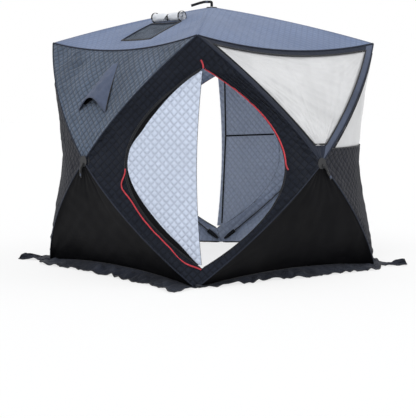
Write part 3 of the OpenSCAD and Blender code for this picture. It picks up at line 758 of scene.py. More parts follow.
def make_rolled_cover():
    """The window's cover, rolled up above it and held by a tie."""
    t_seat = WINDOW_NEAR - 0.043
    middle = turn(roof_point(np.array(0.5), np.array(t_seat)), WALL_LEFT)
    slope = math.atan2(PEAK[2] - EAVE_HEIGHT + EAVE_SAG, EAVE_HALF)
    out = np.array([-math.sin(slope), 0, math.cos(slope)])
    down = np.array([-math.cos(slope), 0, -math.sin(slope)])
    half, radius, turns = 0.165, 0.033, 3.2
    centre = middle + out * 0.036
    end_at, end_radius, tie_radius = 0.158, 0.037, 0.0215
    tie_at = np.array([0, -0.006, 0])

    def hoop(a, radius):
        return radius * (np.cos(a)[:, None] * down + np.sin(a)[:, None] * out)

    def place(u, v):
        x = (v - 0.5) * 2 * half
        a = u * turns * math.tau
        pinch = 1 - 0.42 * np.exp(-((x - tie_at[1]) / 0.022) ** 2)
        flare = 1 + 0.10 * np.abs(v - 0.5) * 2 + 0.03 * np.sin(5 * a + 30 * x)
        r = radius * (0.28 + 0.72 * u) * pinch * flare
        p = centre + x[..., None] * np.array([0, 1, 0])
        return p + (r * np.cos(a))[..., None] * down + (r * np.sin(a))[..., None] * out
    piece = loft("roof_window_cover_roll", place, steps(0, 120, 1), steps(0, 44, 1),
                 [cover_cloth], thickness=0.0015,
                 cut=lambda u, v, p: np.stack([v * 0.33, u * 0.46], 1),
                 lift=lambda u, v, p: waves(p, 0.05, 21) * 0.0012)
    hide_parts("roof_window_cover")
    ends = []
    for y in (end_at, -end_at):
        points = centre + np.array([0, y, 0]) + hoop(np.linspace(0, math.tau, 33), end_radius)
        ends.append((points[:-1], (points - centre - [0, y, 0])[:-1]))
    band("cover_end_binding", ends, [binding_cloth], 0.016, 0.003)
    loop = centre + tie_at + hoop(np.linspace(-0.5, math.tau + 0.3, 40), tie_radius)
    tails = [(loop, loop - centre - tie_at)]
    for sway in (-0.03, 0.026):
        f = np.linspace(0, 1, 14)
        tail = centre + out * 0.02 + tie_at \
            + np.outer(f, down) * 0.045 + np.outer(f * f, [0, sway, 0]) \
            - np.outer(f ** 2, out) * 0.036
        tails.append((tail, out))
    band("cover_tie", tails, [strap_cloth], 0.010, 0.0025)


# ---- Walls ----
WINDOW_LOW_T = (0.965 - HUB_HEIGHT) / UPPER_RISE
WINDOW_HIGH_T = 1 - 0.045 / UPPER_RISE
BORDER = 0.075


def window_share(u, t):
    strip = np.minimum(BORDER / eave_width(t), 0.28)
    return np.where(u < 0.1, u * 10 * strip,
                    np.where(u > 0.9, 1 - (1 - u) * 10 * strip,
                             strip + (u - 0.1) / 0.8 * (1 - 2 * strip)))


def wall_relief(seed, strength=1.0):
    def lift(s, t, p):
        width = eave_width(t)
        side = np.minimum(s, 1 - s) * width
        mask = seam_mask(side, (1 - t) * UP_LENGTH, soft=0.05)
        fan = creases(s, t * UP_LENGTH, seed, 8, 0.03, 0.26) * 0.008
        pucker = np.sin(t * UP_LENGTH * math.tau / 0.055 + waves(p, 0.2, seed + 3) * 2) \
            * np.exp(-side / 0.05) * 0.0022
        return strength * (mask * (waves(p, 0.42, seed) * 0.008
                                   + waves(p, 0.12, seed + 1) * 0.0025 + fan)
                           + seam_mask(side, soft=0.012) * pucker)
    return lift


def make_quilted_walls():
    cut = cut_from_seams(eave_width, UP_LENGTH)
    for k in (WALL_RIGHT, WALL_LEFT):
        def place(s, t, k=k):
            return turn(wall_top_point(s, t), k)
        def drag(s, t, p, k=k):
            # The fabric hangs in slanting folds under the eave's far corner
            fold = waves(p * [1, 1.0, 1.6] + p[:, 2:3] * [0, 0.8, 0], 0.13, 5)
            eave = smooth(t, 0.45, 0.95) * smooth(1 - s, 0.35, 0.95) * smooth(s, 0.0, 0.08)
            one, far = pulls_from((-0.9, -0.9, 1.74), p, k, 210 + k, 20, 0.022, 0.34)
            other, away = pulls_from((0.9, -0.9, 1.72), p, k, 214 + k, 16, 0.020, 0.4)
            pulls = one * 0.016 * smooth(far, 0.05, 0.2) + other * 0.010 * smooth(away, 0.05, 0.2)
            return wall_relief(10 + k)(s, t, p) + (fold * eave * 0.008 + pulls) * smooth(
                1 - t, 0, 0.06) * seam_mask(np.minimum(s, 1 - s) * 2 * t * EAVE_HALF, soft=0.04)
        piece = loft(f"{SIDES[k]}_wall_top_cloth", place, steps(0, 120, 1),
                     steps(UP_START, 84, 1), [wall_quilt, silver_lining],
                     lift=drag, cut=cut, backed=True)
        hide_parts(f"{SIDES[k]}_wall_top")


def in_wall_window(u, t):
    return 0.1 < u < 0.9 and WINDOW_LOW_T < t < WINDOW_HIGH_T


def make_window_walls():
    base_cut = cut_from_seams(eave_width, UP_LENGTH)
    for k in (WALL_FRONT, WALL_BACK):
        def place(u, t, k=k):
            return turn(wall_top_point(window_share(u, t), t), k)
        def lift(u, t, p, k=k):
            s = window_share(u, t)
            side = np.minimum(s, 1 - s) * 2 * t * EAVE_HALF
            fan = creases(s, t * UP_LENGTH, 30 + k, 6, 0.06, 0.10) * 0.007
            roll = np.sin(np.clip(side / BORDER, 0, 1) * math.pi) * 0.003
            return (fan + roll + waves(p, 0.07, 31 + k) * 0.0012) * seam_mask(
                side, (1 - t) * UP_LENGTH, soft=0.02)
        def cut(u, t, p):
            return base_cut(window_share(u, t), t, p)
        # The right strip takes the navy cloth; the left strip and the rest of the frame take the
        # deep navy, which on the left strip is painted shade on the same navy fabric.
        frame_piece = loft(f"{SIDES[k]}_window_strips", place,
                           steps(0, 8, 0.1, 60, 0.9, 8, 1),
                           steps(UP_START, 14, WINDOW_LOW_T, 70, WINDOW_HIGH_T, 5, 1),
                           [navy_cloth, silver_lining, deep_navy_cloth, silver_lining],
                           lift=lift, cut=cut,
                           hole=in_wall_window, backed=True,
                           zone=lambda u, t: 0 if u > 0.9 and t < 0.985 else 2)
        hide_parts(f"{SIDES[k]}_window_frame")

        def film_place(u, t, k=k):
            return turn(sunk(wall_top_point(window_share(u, t), t), 0.005), k)
        def film_lift(u, t, p, k=k):
            s = (u - 0.1) / 0.8
            reach = t * UP_LENGTH
            fan = creases(s, reach, 50 + k, 11, 0.02, 0.6) * 0.010
            pulls = pulls_from((-0.8, -0.9, 1.66), p, k, 61 + k, 15, 0.016, 0.9)[0] * 0.013
            pulls += pulls_from((0.8, -0.9, 1.66), p, k, 66 + k, 9, 0.025, 0.5)[0] * 0.008
            edge = seam_mask(s * 2 * t, (1 - s) * 2 * t, WINDOW_HIGH_T - t, soft=0.06)
            return (fan + pulls + waves(p, 0.5, 3 + k) * 0.006) * edge
        film = loft(f"{SIDES[k]}_window_film", film_place, steps(0.094, 110, 0.906),
                    steps(WINDOW_LOW_T - 0.012, 80, WINDOW_HIGH_T + 0.008), [window_film],
                    lift=film_lift, cut=cut, thickness=THIN_FILM)
        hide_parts(f"{SIDES[k]}_window")
        runs = opening_runs(lambda u, t: wall_top_point(window_share(u, t), t), (0.1, 0.9),
                            (WINDOW_LOW_T, WINDOW_HIGH_T), 60, 0.004, k)
        band(f"{SIDES[k]}_window_binding", runs, [binding_cloth], 0.012, 0.005)


def make_wall_bases():
    cut = cut_from_seams(lambda t: 2 * t * BASE_HALF, DOWN_LENGTH)
    for k, side in enumerate(SIDES):
        def place(s, t, k=k):
            return turn(wall_base_point(s, t), k)
        def lift(s, t, p, k=k):
            width = 2 * t * BASE_HALF
            edge = np.minimum(s, 1 - s) * width
            mask = seam_mask(edge, (1 - t) * DOWN_LENGTH, soft=0.05)
            fan = creases(s, t * DOWN_LENGTH, 90 + k, 7, 0.035, 0.2) * 0.009
            pulls = pulls_from((-0.9, -0.9, 0), p, k, 95 + k, 5, 0.05, 0.35)[0] * 0.006
            pulls += pulls_from((0.9, -0.9, 0), p, k, 99 + k, 5, 0.05, 0.35)[0] * 0.006
            return mask * (waves(p, 0.5, 80 + k) * 0.007 + waves(p, 0.13, 85 + k) * 0.002
                           + fan + pulls)
        piece = loft(f"{side}_wall_base_cloth", place, steps(0, 80, 1),
                     steps(1, 60, DOWN_START), [black_cloth, silver_lining],
                     lift=lift, cut=cut, backed=True)
        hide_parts(f"{side}_wall_base")


# ---- Vent hoods ----
VENT_TOP, VENT_MOUTH, VENT_RISE = 1.585, 1.195, 0.115
VENT_TOP_HALF, VENT_MOUTH_HALF, VENT_LIFT = 0.030, 0.165, 0.062
VENT_SHIFT, VENT_SLANT = 0.050, 0.040


def vent_point(across, f, lift_share=1.0):
    """A hood's skin: across from -1 to 1, and f from its top, 0, to its mouth, 1."""
    arch, f = np.maximum(np.cos(across * math.pi / 2), 0), np.maximum(f, 0)
    half = VENT_TOP_HALF + (VENT_MOUTH_HALF - VENT_TOP_HALF) * f ** 0.85
    rise = (0.008 + (VENT_LIFT - 0.008) * f ** 1.4) * arch ** 0.8 * lift_share
    z = VENT_TOP + (VENT_MOUTH + VENT_RISE * arch - VENT_TOP) * f
    t = (z - HUB_HEIGHT) / UPPER_RISE
    share = 0.5 + (VENT_SHIFT - VENT_SLANT * f + half * across) / (2 * t * EAVE_HALF)
    return offset(wall_top_point(share, t), y=-rise - 0.006)


def make_vents():
    for k in (WALL_LEFT, WALL_RIGHT):
        def place(u, v, k=k):
            return turn(vent_point(u, v), k)
        def lift(u, v, p):
            return waves(p, 0.09, 14) * 0.004 * smooth(1 - np.abs(u), 0, 0.3) * smooth(v, 0, 0.2)
        hood = loft(f"{SIDES[k]}_vent_hood_cloth", place, steps(-1, 44, 1), steps(1, 40, 0),
                    [hood_cloth, black_cloth], lift=lift,
                    cut=lambda u, v, p: np.stack([u * (0.03 + 0.15 * v), v * 0.36], 1),
                    thickness=0.003, backed=True)
        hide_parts(f"{SIDES[k]}_vent_hood")
        u = np.linspace(-1, 1, 40)
        mouth, mouth_out = vent_point(u, np.ones_like(u)), np.array([0, -0.5, -1.0])
        band(f"{SIDES[k]}_vent_lip", [(turn(mouth, k), turn(mouth_out, k))], [navy_cloth],
             0.007, 0.012)
        v = np.linspace(0.02, 1, 34)
        side = turn(vent_point(np.ones_like(v), v), k)
        band(f"{SIDES[k]}_vent_side_binding", [(side, turn(np.array([0, -1.0, 0]), k))],
             [binding_cloth], 0.011, 0.005)
        # A black sheet on the wall inside the hood's mouth: painted shade for the dark space
        # under the hood.
        def dark(u, v, k=k):
            return turn(vent_point(u * 0.97, 0.35 + v * 0.68, lift_share=0.0), k)
        shade_patch = loft(f"{SIDES[k]}_vent_shade_patch", dark, steps(-1, 24, 1), steps(1, 20, 0),
                      [black_cloth], thickness=THIN_FILM,
                      cut=lambda u, v, p: np.stack([u * 0.15, v * 0.24], 1))


# ---- Corners ----
CORNER_WINDOW_LOW = (0.930 - HUB_HEIGHT) / UPPER_RISE
CORNER_WINDOW_HIGH = 1 - 0.09
CORNER_BORDER = 0.034


def corner_relief(seed):
    def lift(x, v, p):
        left, right = corner_pole(v, -1), corner_pole(v, 1)
        half = np.linalg.norm(right - left, axis=-1) / 2
        side = (1 - np.abs(x)) * half
        mask = seam_mask(side, soft=0.05)
        total = waves(p, 0.5, seed) * 0.007 + waves(p, 0.13, seed + 1) * 0.0025
        for hub_side in (-1, 1):
            reach = (1 - hub_side * x) * half
            total = total + creases(v, reach, seed + 3 + hub_side, 13, 0.022, 0.26) * 0.011
        pucker = np.sin(v * 18 + waves(p, 0.2, seed + 7) * 2) * np.exp(-side / 0.05) * 0.002
        return mask * total + seam_mask(side, soft=0.012) * pucker
    return lift


def corner_cut(x, v, p):
    left, right = corner_pole(v, -1), corner_pole(v, 1)
    half = np.linalg.norm(right - left, axis=-1) / 2
    return np.stack([x * half, p[:, 2] * 1.03], 1)


def corner_strip_share(u, v):
    half = np.linalg.norm(corner_pole(v, 1) - corner_line(corner_pole(v, 1)[..., 2]), axis=-1)
    strip = np.minimum(CORNER_BORDER / np.maximum(half, 1e-3), 0.4)
    size = np.abs(u)
    return np.sign(u) * np.where(size > 0.9, 1 - (1 - size) * 10 * strip,
                                 size / 0.9 * (1 - strip))


def in_corner_window(u, v):
    return abs(u) < 0.9 and CORNER_WINDOW_LOW < v < CORNER_WINDOW_HIGH


def make_corners():
    vs = steps(-1, 76, -DOWN_START, 4, UP_START, 76, 1)
    back = loft("back_left_corner_cloth", lambda x, v: turn(corner_point(v, x), 2),
                steps(-1, 110, 1), vs, [charcoal_quilt, silver_lining],
                lift=corner_relief(120), cut=corner_cut, backed=True)
    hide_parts("back_left_corner")

    low_vs = steps(-1, 76, -DOWN_START, 4, UP_START, 8, CORNER_WINDOW_LOW)
    low = loft("front_right_corner_cloth", lambda x, v: corner_point(v, x),
               steps(-1, 110, 1), low_vs, [charcoal_quilt, silver_lining],
               lift=corner_relief(130), cut=corner_cut, backed=True)
    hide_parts("front_right_corner")

    def place(u, v):
        return corner_point(v, corner_strip_share(u, v))
    def lift(u, v, p):
        return waves(p, 0.08, 140) * 0.0014 * seam_mask(1 - np.abs(u), soft=0.04)
    def cut(u, v, p):
        return corner_cut(corner_strip_share(u, v), v, p)
    strips = loft("corner_window_strips", place, steps(-1, 6, -0.9, 60, 0.9, 6, 1),
                  steps(CORNER_WINDOW_LOW, 50, CORNER_WINDOW_HIGH, 8, 1),
                  [deep_navy_cloth, silver_lining], lift=lift,
                  cut=cut, hole=in_corner_window, backed=True)
    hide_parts("corner_window_frame")

    def film_place(u, v):
        return sunk(corner_point(v, corner_strip_share(u, v)), 0.005)
    def film_lift(u, v, p):
        edge = seam_mask(0.91 - np.abs(u), v - CORNER_WINDOW_LOW, CORNER_WINDOW_HIGH - v,
                         soft=0.05)
        fold = creases(u, np.maximum(1 - v, 0) * 0.9, 150, 11, 0.03, 0.5) * 0.006
        return edge * (fold + waves(p, 0.4, 151) * 0.005)
    film = loft("corner_window_film", film_place, steps(-0.907, 90, 0.907),
                steps(CORNER_WINDOW_LOW - 0.012, 60, CORNER_WINDOW_HIGH + 0.01), [window_film],
                lift=film_lift, cut=cut, thickness=THIN_FILM)
    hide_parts("corner_window")
    heights = (CORNER_WINDOW_LOW, CORNER_WINDOW_HIGH)
    runs = [upright_run(place, u, heights, 50, 0.004) for u in (-0.9, 0.9)]
    runs += [level_run(place, v, (-full, full), 60, 0.004) for v, full in zip(heights, (1, 0.9))]
    band("corner_window_binding", runs, [binding_cloth], 0.009, 0.004)


# ---- Seam tapes over the wall poles ----
def make_pole_tapes():
    runs = []
    for k in range(4):
        for side in (-1, 1):
            for up, start in ((True, UP_START), (False, DOWN_START)):
                end = 0.997 if up else 0.985
                runs.append(lifted(lambda t, up=up, side=side: wall_pole(t, up, side),
                                   0.0015, k)(np.linspace(start, end, 90)))
    band("pole_seam_tapes", runs, [deep_navy_cloth], 0.010, 0.005)


# ---- Doors: k is 3 for the front left corner and 1 for the back right ----
DOOR_CORNERS = (("front", 3, "front_door_flap"), ("back", 1, "hut"))
ROW_STOPS = ([0, 6, 7, 13], [1, UP_START, -DOWN_START, -1])
TIP_ROW, TOE_ROW, LAST_ROW = 2, 12, 13


def surround_edge(row, side):
    z = DOOR_TOP + (DOOR_LOW - DOOR_TOP) * (row - TIP_ROW) / (TOE_ROW - TIP_ROW)
    top, low = np.append(FOLD[:2], DOOR_TOP), np.append(FOLD[:2], DOOR_LOW)
    above = between(EAVE_CORNER, top, row / TIP_ROW)
    below = between(low, BASE_CORNER, (row - TOE_ROW) / (LAST_ROW - TOE_ROW))
    rim = door_point(side, doorway_half(z), z)
    row = row[..., None]
    return np.where(row < TIP_ROW, above, np.where(row > TOE_ROW, below, rim))


def surround_point(row, side, u):
    v = np.interp(row, *ROW_STOPS)
    seam, edge = corner_pole(v, side), surround_edge(row, side)
    chord = (corner_pole(v, -1) + corner_pole(v, 1)) / 2
    fold = np.stack(np.broadcast_arrays(FOLD[0], FOLD[1], edge[..., 2]), -1)
    share = np.linalg.norm(seam - edge, axis=-1) / np.maximum(
        np.linalg.norm(seam - fold, axis=-1), 1e-6)
    in_rim = (row > TIP_ROW) & (row < TOE_ROW)
    share = np.where(in_rim, np.minimum(share, 1), 1)[..., None]
    u = np.asarray(u)[..., None]
    return seam + (edge - seam) * u + share ** 2 * u * (1 - u) * (
        corner_line(seam[..., 2]) - chord)


def make_surrounds():
    for name, k, _ in DOOR_CORNERS:
        for side, word in ((-1, "left"), (1, "right")):
            def place(u, row, k=k, side=side):
                return turn(surround_point(row, side, u), k)
            def lift(u, row, p, k=k, side=side):
                here = turn(p, 4 - k)
                seam = corner_pole(np.interp(row, *ROW_STOPS), side)
                from_seam = np.linalg.norm(here - seam, axis=-1)
                edge = surround_edge(row, side)
                to_rim = np.linalg.norm(here - edge, axis=-1)
                mask = seam_mask(from_seam, to_rim, soft=0.04)
                v = np.interp(row, *ROW_STOPS)
                fan = creases(v, from_seam, 160 + k + side, 30, 0.014, 0.24) * 0.012
                hub_far = smooth(1 - np.abs(v), 0.2, 0.9)
                pucker = np.sin(row * 16 + waves(p, 0.2, 9) * 2.5) * 0.0028 * (
                    np.exp(-from_seam / 0.06) * (0.4 + hub_far) + np.exp(-to_rim / 0.03) * 0.7)
                fold = np.sin(to_rim * math.tau / 0.045 + waves(p, 0.3, 167) * 2.2) * 0.0045 \
                    * smooth(v, 0.05, 0.5) * smooth(1 - v, 0.02, 0.3) * (side > 0)
                return mask * (fan * (0.35 + hub_far) + fold + waves(p, 0.3, 161 + side) * 0.006
                               + waves(p, 0.1, 165 + side) * 0.0022) \
                    + seam_mask(from_seam, to_rim, soft=0.01) * pucker
            def cut(u, row, p, k=k):
                here = turn(p, 4 - k)
                d = here - np.array([FOLD[0], FOLD[1], 0])
                return np.stack([d @ (heading(45)), here[:, 2]], 1)
            us = steps(0, 56, 1) if side < 0 else steps(1, 56, 0)
            rows = steps(LAST_ROW, 14, TOE_ROW, 110, TIP_ROW, 26, 0)
            piece = loft(f"{name}_door_surround_{word}_cloth", place, us, rows,
                         [dark_quilt, silver_lining], lift=lift,
                         cut=cut, backed=True)
            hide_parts(f"{name}_door_surround_{word}")


def rim_run(side, k, z_from, z_to, inset=0.0, depth=0.0, count=90):
    """Points along a doorway's rim and their outward directions."""
    z = np.linspace(z_from, z_to, count)
    p = door_point(side, np.maximum(doorway_half(z) - inset, 0.0), z, depth)
    return turn(p, k), turn(np.broadcast_to(heading(-45 + side * DOOR_LEAN), p.shape), k)


def zip_stray(z):
    """How far the left zip lies outside the doorway's edge: two slack bulges."""
    bulges = 0.034 * (np.exp(-((z - 0.17) / 0.07) ** 2) + np.exp(-((z - 0.66) / 0.06) ** 2))
    return (0.020 + bulges) * smooth(z, 0.118, 0.155) * smooth(-z, -0.79, -0.70)


def stray_zip_run(k):
    """The left zip, laid over the surround a little outside the doorway's edge."""
    rows, shares = np.meshgrid(np.linspace(TIP_ROW + 0.01, TOE_ROW + 0.9, 700),
                               np.linspace(0.3, 1, 120), indexing="ij")
    skin = surround_point(rows.ravel(), -1, shares.ravel())
    along = (skin - np.append(FOLD[:2], 0)) @ heading(-45 - 90 - DOOR_LEAN)
    points = []
    for z in np.linspace(0.790, 0.122, 110):
        reach = float(doorway_half(np.array(z)) + zip_stray(z))
        points.append(skin[np.argmin((along - reach) ** 2 + (skin[:, 2] - z) ** 2)])
    points = np.array(points)
    for _ in range(3):
        points[1:-1] = (points[:-2] + points[1:-1] + points[2:]) / 3
    out = heading(-45 - DOOR_LEAN)
    return turn(points + out * 0.0075, k), turn(np.broadcast_to(out, points.shape), k)


RED_LOW, RED_INSET, RED_DEPTH = 0.86, -0.006, -0.005
DARK_INSET, DARK_DEPTH = -0.004, -0.003


def make_zips():
    """The red zip tape with its loose ends, and the dark binding on the rest of the rim."""
    for name, k, _ in DOOR_CORNERS:
        red = [rim_run(1, k, RED_LOW, DOOR_TOP - 0.004, RED_INSET, RED_DEPTH), stray_zip_run(k)]
        out = heading(-45)
        sway = np.linspace(0, 1, 16)
        right_end = rim_run(1, k, RED_LOW, RED_LOW, RED_INSET, RED_DEPTH, count=1)[0][0]
        drop = right_end + turn(np.outer(0.020 * sway ** 2, heading(45 + DOOR_LEAN))
                                + np.stack([0 * sway, 0 * sway, -0.066 * sway], 1)
                                + 0.012 * np.sin(sway * 3.0)[:, None] * out, k)
        red.append((drop, turn(heading(-45 + DOOR_LEAN), k)))
        tip = np.append(FOLD[:2], DOOR_TOP)
        tall = tip + np.outer(0.004 - 0.016 * sway ** 2, heading(45)) + np.stack(
            [0 * sway, 0 * sway, 0.056 * sway], 1) + (0.006 + 0.012 * sway)[:, None] * out
        red.append((turn(tall, k), turn(out, k)))
        band(f"{name}_door_zip", red, [red_zip], 0.0105, 0.0045)
        dark = [rim_run(side, k, DOOR_LOW + 0.004, top, DARK_INSET, DARK_DEPTH)
                for side, top in ((1, RED_LOW), (-1, DOOR_TOP - 0.004))]
        band(f"{name}_door_rim_binding", dark, [binding_cloth], 0.012, 0.005)


FLAP_GAP, FLAP_THICK, FOLD_HALF = 0.0066, 0.003, 0.0034
BOW = 0.042


def fold_bow(z):
    return BOW * np.clip(1 - ((z - DOOR_MIDDLE) / DOOR_RISE) ** 2, 0, 1) ** 1.1


FLAP_LOW, FLAP_TOP = DOOR_LOW + 0.022, DOOR_TOP - 0.018
KNEE_HEIGHT, KNEE_REACH = 0.95, 0.084


def border_width(z):
    """Width of the dark border along the flap's zipped edge: widest low down."""
    low = 0.058 * smooth(z, 0.12, 0.30) * smooth(-z, -0.86, -0.42)
    high = 0.036 * smooth(z, 0.92, 1.08) * smooth(-z, -1.46, -1.16)
    return 0.009 + low + high


def flap_point(u, z):
    """The open flap: u from 0 at its zipped edge over its dark border, to 0.12, and
    on to 1 at the fold, round the fold to 1.3, and a short return on the half that
    stays zipped to 1.6."""
    bow = fold_bow(z)
    rim = np.maximum(doorway_half(z) - 0.008, bow + 0.012)
    edge = bow + FLAP_GAP
    border = np.minimum(border_width(z), (rim - edge) * 0.6)
    u_flat = np.clip(u, 0, 1)
    flat = np.where(u_flat < 0.12, rim - border * u_flat / 0.12,
                    rim - border + (edge - rim + border) * (u_flat - 0.12) / 0.88)
    a = math.pi / 2 - np.clip((u - 1) / 0.3, 0, 1) * math.pi
    back = np.clip((u - 1.3) / 0.3, 0, 1) * np.minimum(0.04, (rim - edge) * 0.9)
    reach = np.where(u <= 1, flat, edge - FLAP_GAP * np.cos(a) + back)
    out = np.where(u <= 1, FLAP_GAP, FLAP_GAP * np.sin(a))
    return door_point(-1, reach, z, -out)


def settle(piece):
    """Makes a piece's modifiers part of its mesh."""
    shape = piece.evaluated_get(bpy.context.evaluated_depsgraph_get())
    mesh = bpy.data.meshes.new_from_object(shape, preserve_all_data_layers=True,
                                           depsgraph=bpy.context.evaluated_depsgraph_get())
    piece.modifiers.clear()
    piece.data = mesh


def make_door_leaves():
    for name, k, body in DOOR_CORNERS:
        def place(u, z, k=k):
            return turn(flap_point(u, z), k)
        def lift(u, z, p, k=k):
            flat = np.clip(u, 0, 1)
            edge = seam_mask(flat * 0.5, (1 - flat) * 0.5, z - FLAP_LOW, FLAP_TOP - z, soft=0.06)
            slant = (1 - flat) * 0.55 + (DOOR_TOP - z) * 0.8
            drape = np.sin(slant * math.tau / 0.062 + waves(p, 0.3, 172) * 1.6) * smooth(
                z, 0.85, 1.15) * smooth(0.75 - flat, 0, 0.5)
            pull = waves(p, 0.35, 170 + k) * 0.0035 + waves(p, 0.10, 171 + k) * 0.0016 \
                + drape * 0.0022
            groove = 1 - 0.9 * np.exp(-((u - 0.12) / 0.02) ** 2)
            return edge * groove * np.maximum(pull + 0.005, 0)
        def cut(u, z, p):
            return np.stack([-np.linalg.norm((flap_point(u, z) - np.array(
                [FOLD[0], FOLD[1], 0]))[:, :2], axis=1), z], 1)
        leaf = loft(f"{name}_door_flap_cloth", place,
                    steps(0, 8, 0.12, 64, 1, 12, 1.3, 4, 1.6),
                    steps(FLAP_LOW, 110, FLAP_TOP),
                    [silver_lining, dark_quilt, black_cloth, dark_quilt], body=body,
                    lift=lift, cut=cut, thickness=FLAP_THICK, backed=True,
                    zone=lambda u, z: 2 if u < 0.12 or 1.099 < u < 1.201 else 0)
        settle(leaf)
        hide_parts(f"{name}_door_flap")
        if body != "hut":
            leaf.parent = None
            out = turn(heading(-45 - DOOR_LEAN), k)
            foot = turn(np.append(FOLD[:2], DOOR_MIDDLE), k)
            tuple(foot - out * FOLD_HALF)
            tuple(foot + out * FOLD_HALF)
            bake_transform(leaf)

        # The flap's bound edge
        out = turn(heading(-45 - DOOR_LEAN), k)
        z = np.linspace(FLAP_LOW + 0.004, FLAP_TOP - 0.004, 150)
        rim = np.maximum(doorway_half(z) - 0.011, fold_bow(z) + 0.012)
        edge = turn(door_point(-1, rim, z, -FLAP_GAP - 0.0015), k)
        band(f"{name}_door_flap_edge", [(edge, out)], [binding_cloth], 0.009, 0.005,
             body=body)

        def half_place(u, z, k=k):
            inner = fold_bow(z) + FLAP_GAP + 0.03
            rim = np.maximum(doorway_half(z) + 0.004, inner + 0.006)
            reach = rim + (inner - rim) * u
            return turn(door_point(-1, reach, z, 0.0052), k)
        half = loft(f"{name}_door_zipped_half_cloth", half_place, steps(0, 60, 1),
                    steps(DOOR_LOW + 0.02, 110, DOOR_TOP - 0.02), [dark_quilt, silver_lining],
                    thickness=0.0035, backed=True,
                    cut=lambda u, z, p: np.stack([-(1 - u) * doorway_half(z), z], 1),
                    lift=lambda u, z, p: -(0.5 + 0.5 * waves(p, 0.3, 180)) * 0.004 * seam_mask(
                        u * 0.5, (1 - u) * 0.5, soft=0.08))
        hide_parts(f"{name}_door_zipped_half", f"{name}_door_seam")
        # Bindings sewn on the inner side: one upright, which bends away from the fold to
        # a knee and back, and one level from the knee
        z = np.linspace(DOOR_LOW + 0.045, DOOR_TOP - 0.045, 60)
        inner = turn(-heading(-45 - DOOR_LEAN), k)
        way = KNEE_REACH - 0.040 * np.maximum(KNEE_HEIGHT - z, 0) \
            - 0.026 * np.maximum(z - KNEE_HEIGHT, 0)
        upright = turn(door_point(-1, np.minimum(way, doorway_half(z) - 0.004), z, 0.0125), k)
        reach = np.linspace(KNEE_REACH, float(doorway_half(np.array(0.955))) - 0.02, 30)
        level = turn(door_point(-1, reach, 0.943 + 0.05 * reach, 0.0135), k)
        band(f"{name}_door_inner_binding", [(upright, inner), (level, inner)],
             [binding_cloth], 0.014, 0.003)


# ---- Skirt ----
def skirt_outline(end):
    """The outer edge from a wall's middle to a corner: along the wall and outwards."""
    if end == "door":
        points = [(0, .175), (.14, .150), (.26, .182), (.36, .168), (.44, .192), (.55, .165),
                  (.66, .180), (.76, .200), (.86, .232), (.93, .258), (.96, .225), (.935, .110)]
    elif end == "right door":
        points = [(0, .160), (.13, .110), (.24, .078), (.35, .070), (.44, .095), (.52, .085),
                  (.62, .045), (.70, .060), (.76, .072), (.82, .040), (.88, .030), (.935, .045)]
    else:
        points = [(0, .175), (.20, .157), (.42, .178), (.62, .205), (.72, .215), (.80, .155),
                  (.87, .105), (.93, .115), (.98, .160), (1.035, .21), (1.075, .18), (1.06, .14)]
    f = np.linspace(0, 1, len(points))
    return f, np.array(points)


def skirt_point(s, w, ends):
    """s runs along a wall and w from its ground seam, 0, to the skirt's edge, 1."""
    seam = wall_base_point(s, np.ones_like(s))
    side = np.abs(2 * s - 1)
    edge_x, edge_y = np.zeros_like(s), np.zeros_like(s)
    for part, end in ((s <= 0.5, ends[0]), (s > 0.5, ends[1])):
        f, points = skirt_outline(end)
        fine = np.linspace(0, 1, 400)
        soft_x, soft_y = np.interp(fine, f, points[:, 0]), np.interp(fine, f, points[:, 1])
        kernel = np.ones(25) / 25
        for line in (soft_x, soft_y):
            padded = np.concatenate([2 * line[0] - line[12:0:-1], line,
                                     2 * line[-1] - line[-2:-14:-1]])
            line[:] = np.convolve(padded, kernel, "valid")
        edge_x = np.where(part, np.interp(side, fine, soft_x), edge_x)
        edge_y = np.where(part, np.interp(side, fine, soft_y), edge_y)
    edge = np.stack([np.sign(s - 0.5) * edge_x, -BASE_HALF - edge_y, np.zeros_like(s)], -1)
    p = seam + (edge - seam) * w[..., None]
    p[..., 2] = seam[..., 2] * (1 - w) ** 1.6
    return p


def skirt_ripple(p, w, s, tail):
    fold = waves(p * [1.0, 1.0, 0.3], 0.19, 200) * 0.018 + waves(p, 0.08, 201) * 0.004
    rise = np.abs(fold) * smooth(w, 0.05, 0.5)
    side = np.abs(2 * s - 1)
    hump_at = np.exp(-((side - 0.96) / 0.03) ** 2) * smooth(w, 0.35, 0.9) * 0.030 * tail
    neck = 1 - 0.4 * np.exp(-((side - 0.86) / 0.05) ** 2)
    return (rise * neck + hump_at) * smooth(w, 0, 0.25)


def make_skirt():
    ends = (("right door", "tail"), ("tail", "door")) * 2
    for k, side in enumerate(SIDES):
        def place(s, w, k=k):
            p = skirt_point(s, w, ends[k])
            tail = np.where(s < 0.5, ends[k][0] == "tail", ends[k][1] == "tail") * 1.0
            world = turn(p, k)
            world[..., 2] += skirt_ripple(world, w, s, tail)
            world[..., 2] = np.maximum(world[..., 2], 0) + 0.0042
            return world
        piece = loft(f"skirt_{side}", place, steps(0.0, 200, 1.0), steps(1, 22, 0),
                     [skirt_cloth], thickness=0.0025,
                     cut=lambda s, w, p: np.stack([(s - 0.5) * 1.9, w * 0.17], 1))
        if k == 0:
            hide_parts("skirt")
        s = np.linspace(0.008, 0.992, 160)
        hem = place(s, np.ones_like(s))
        band(f"skirt_hem_{side}", [(hem + [0, 0, 0.0005], np.array([0, 0, 1.0]))],
             [binding_cloth], 0.012, 0.0035)
    runs = all_round(lambda s: wall_base_point(s, np.ones_like(s)), 0.003,
                     np.linspace(0.015, 0.985, 80))
    band("ground_seam_piping", runs, [binding_cloth], 0.012, 0.007)


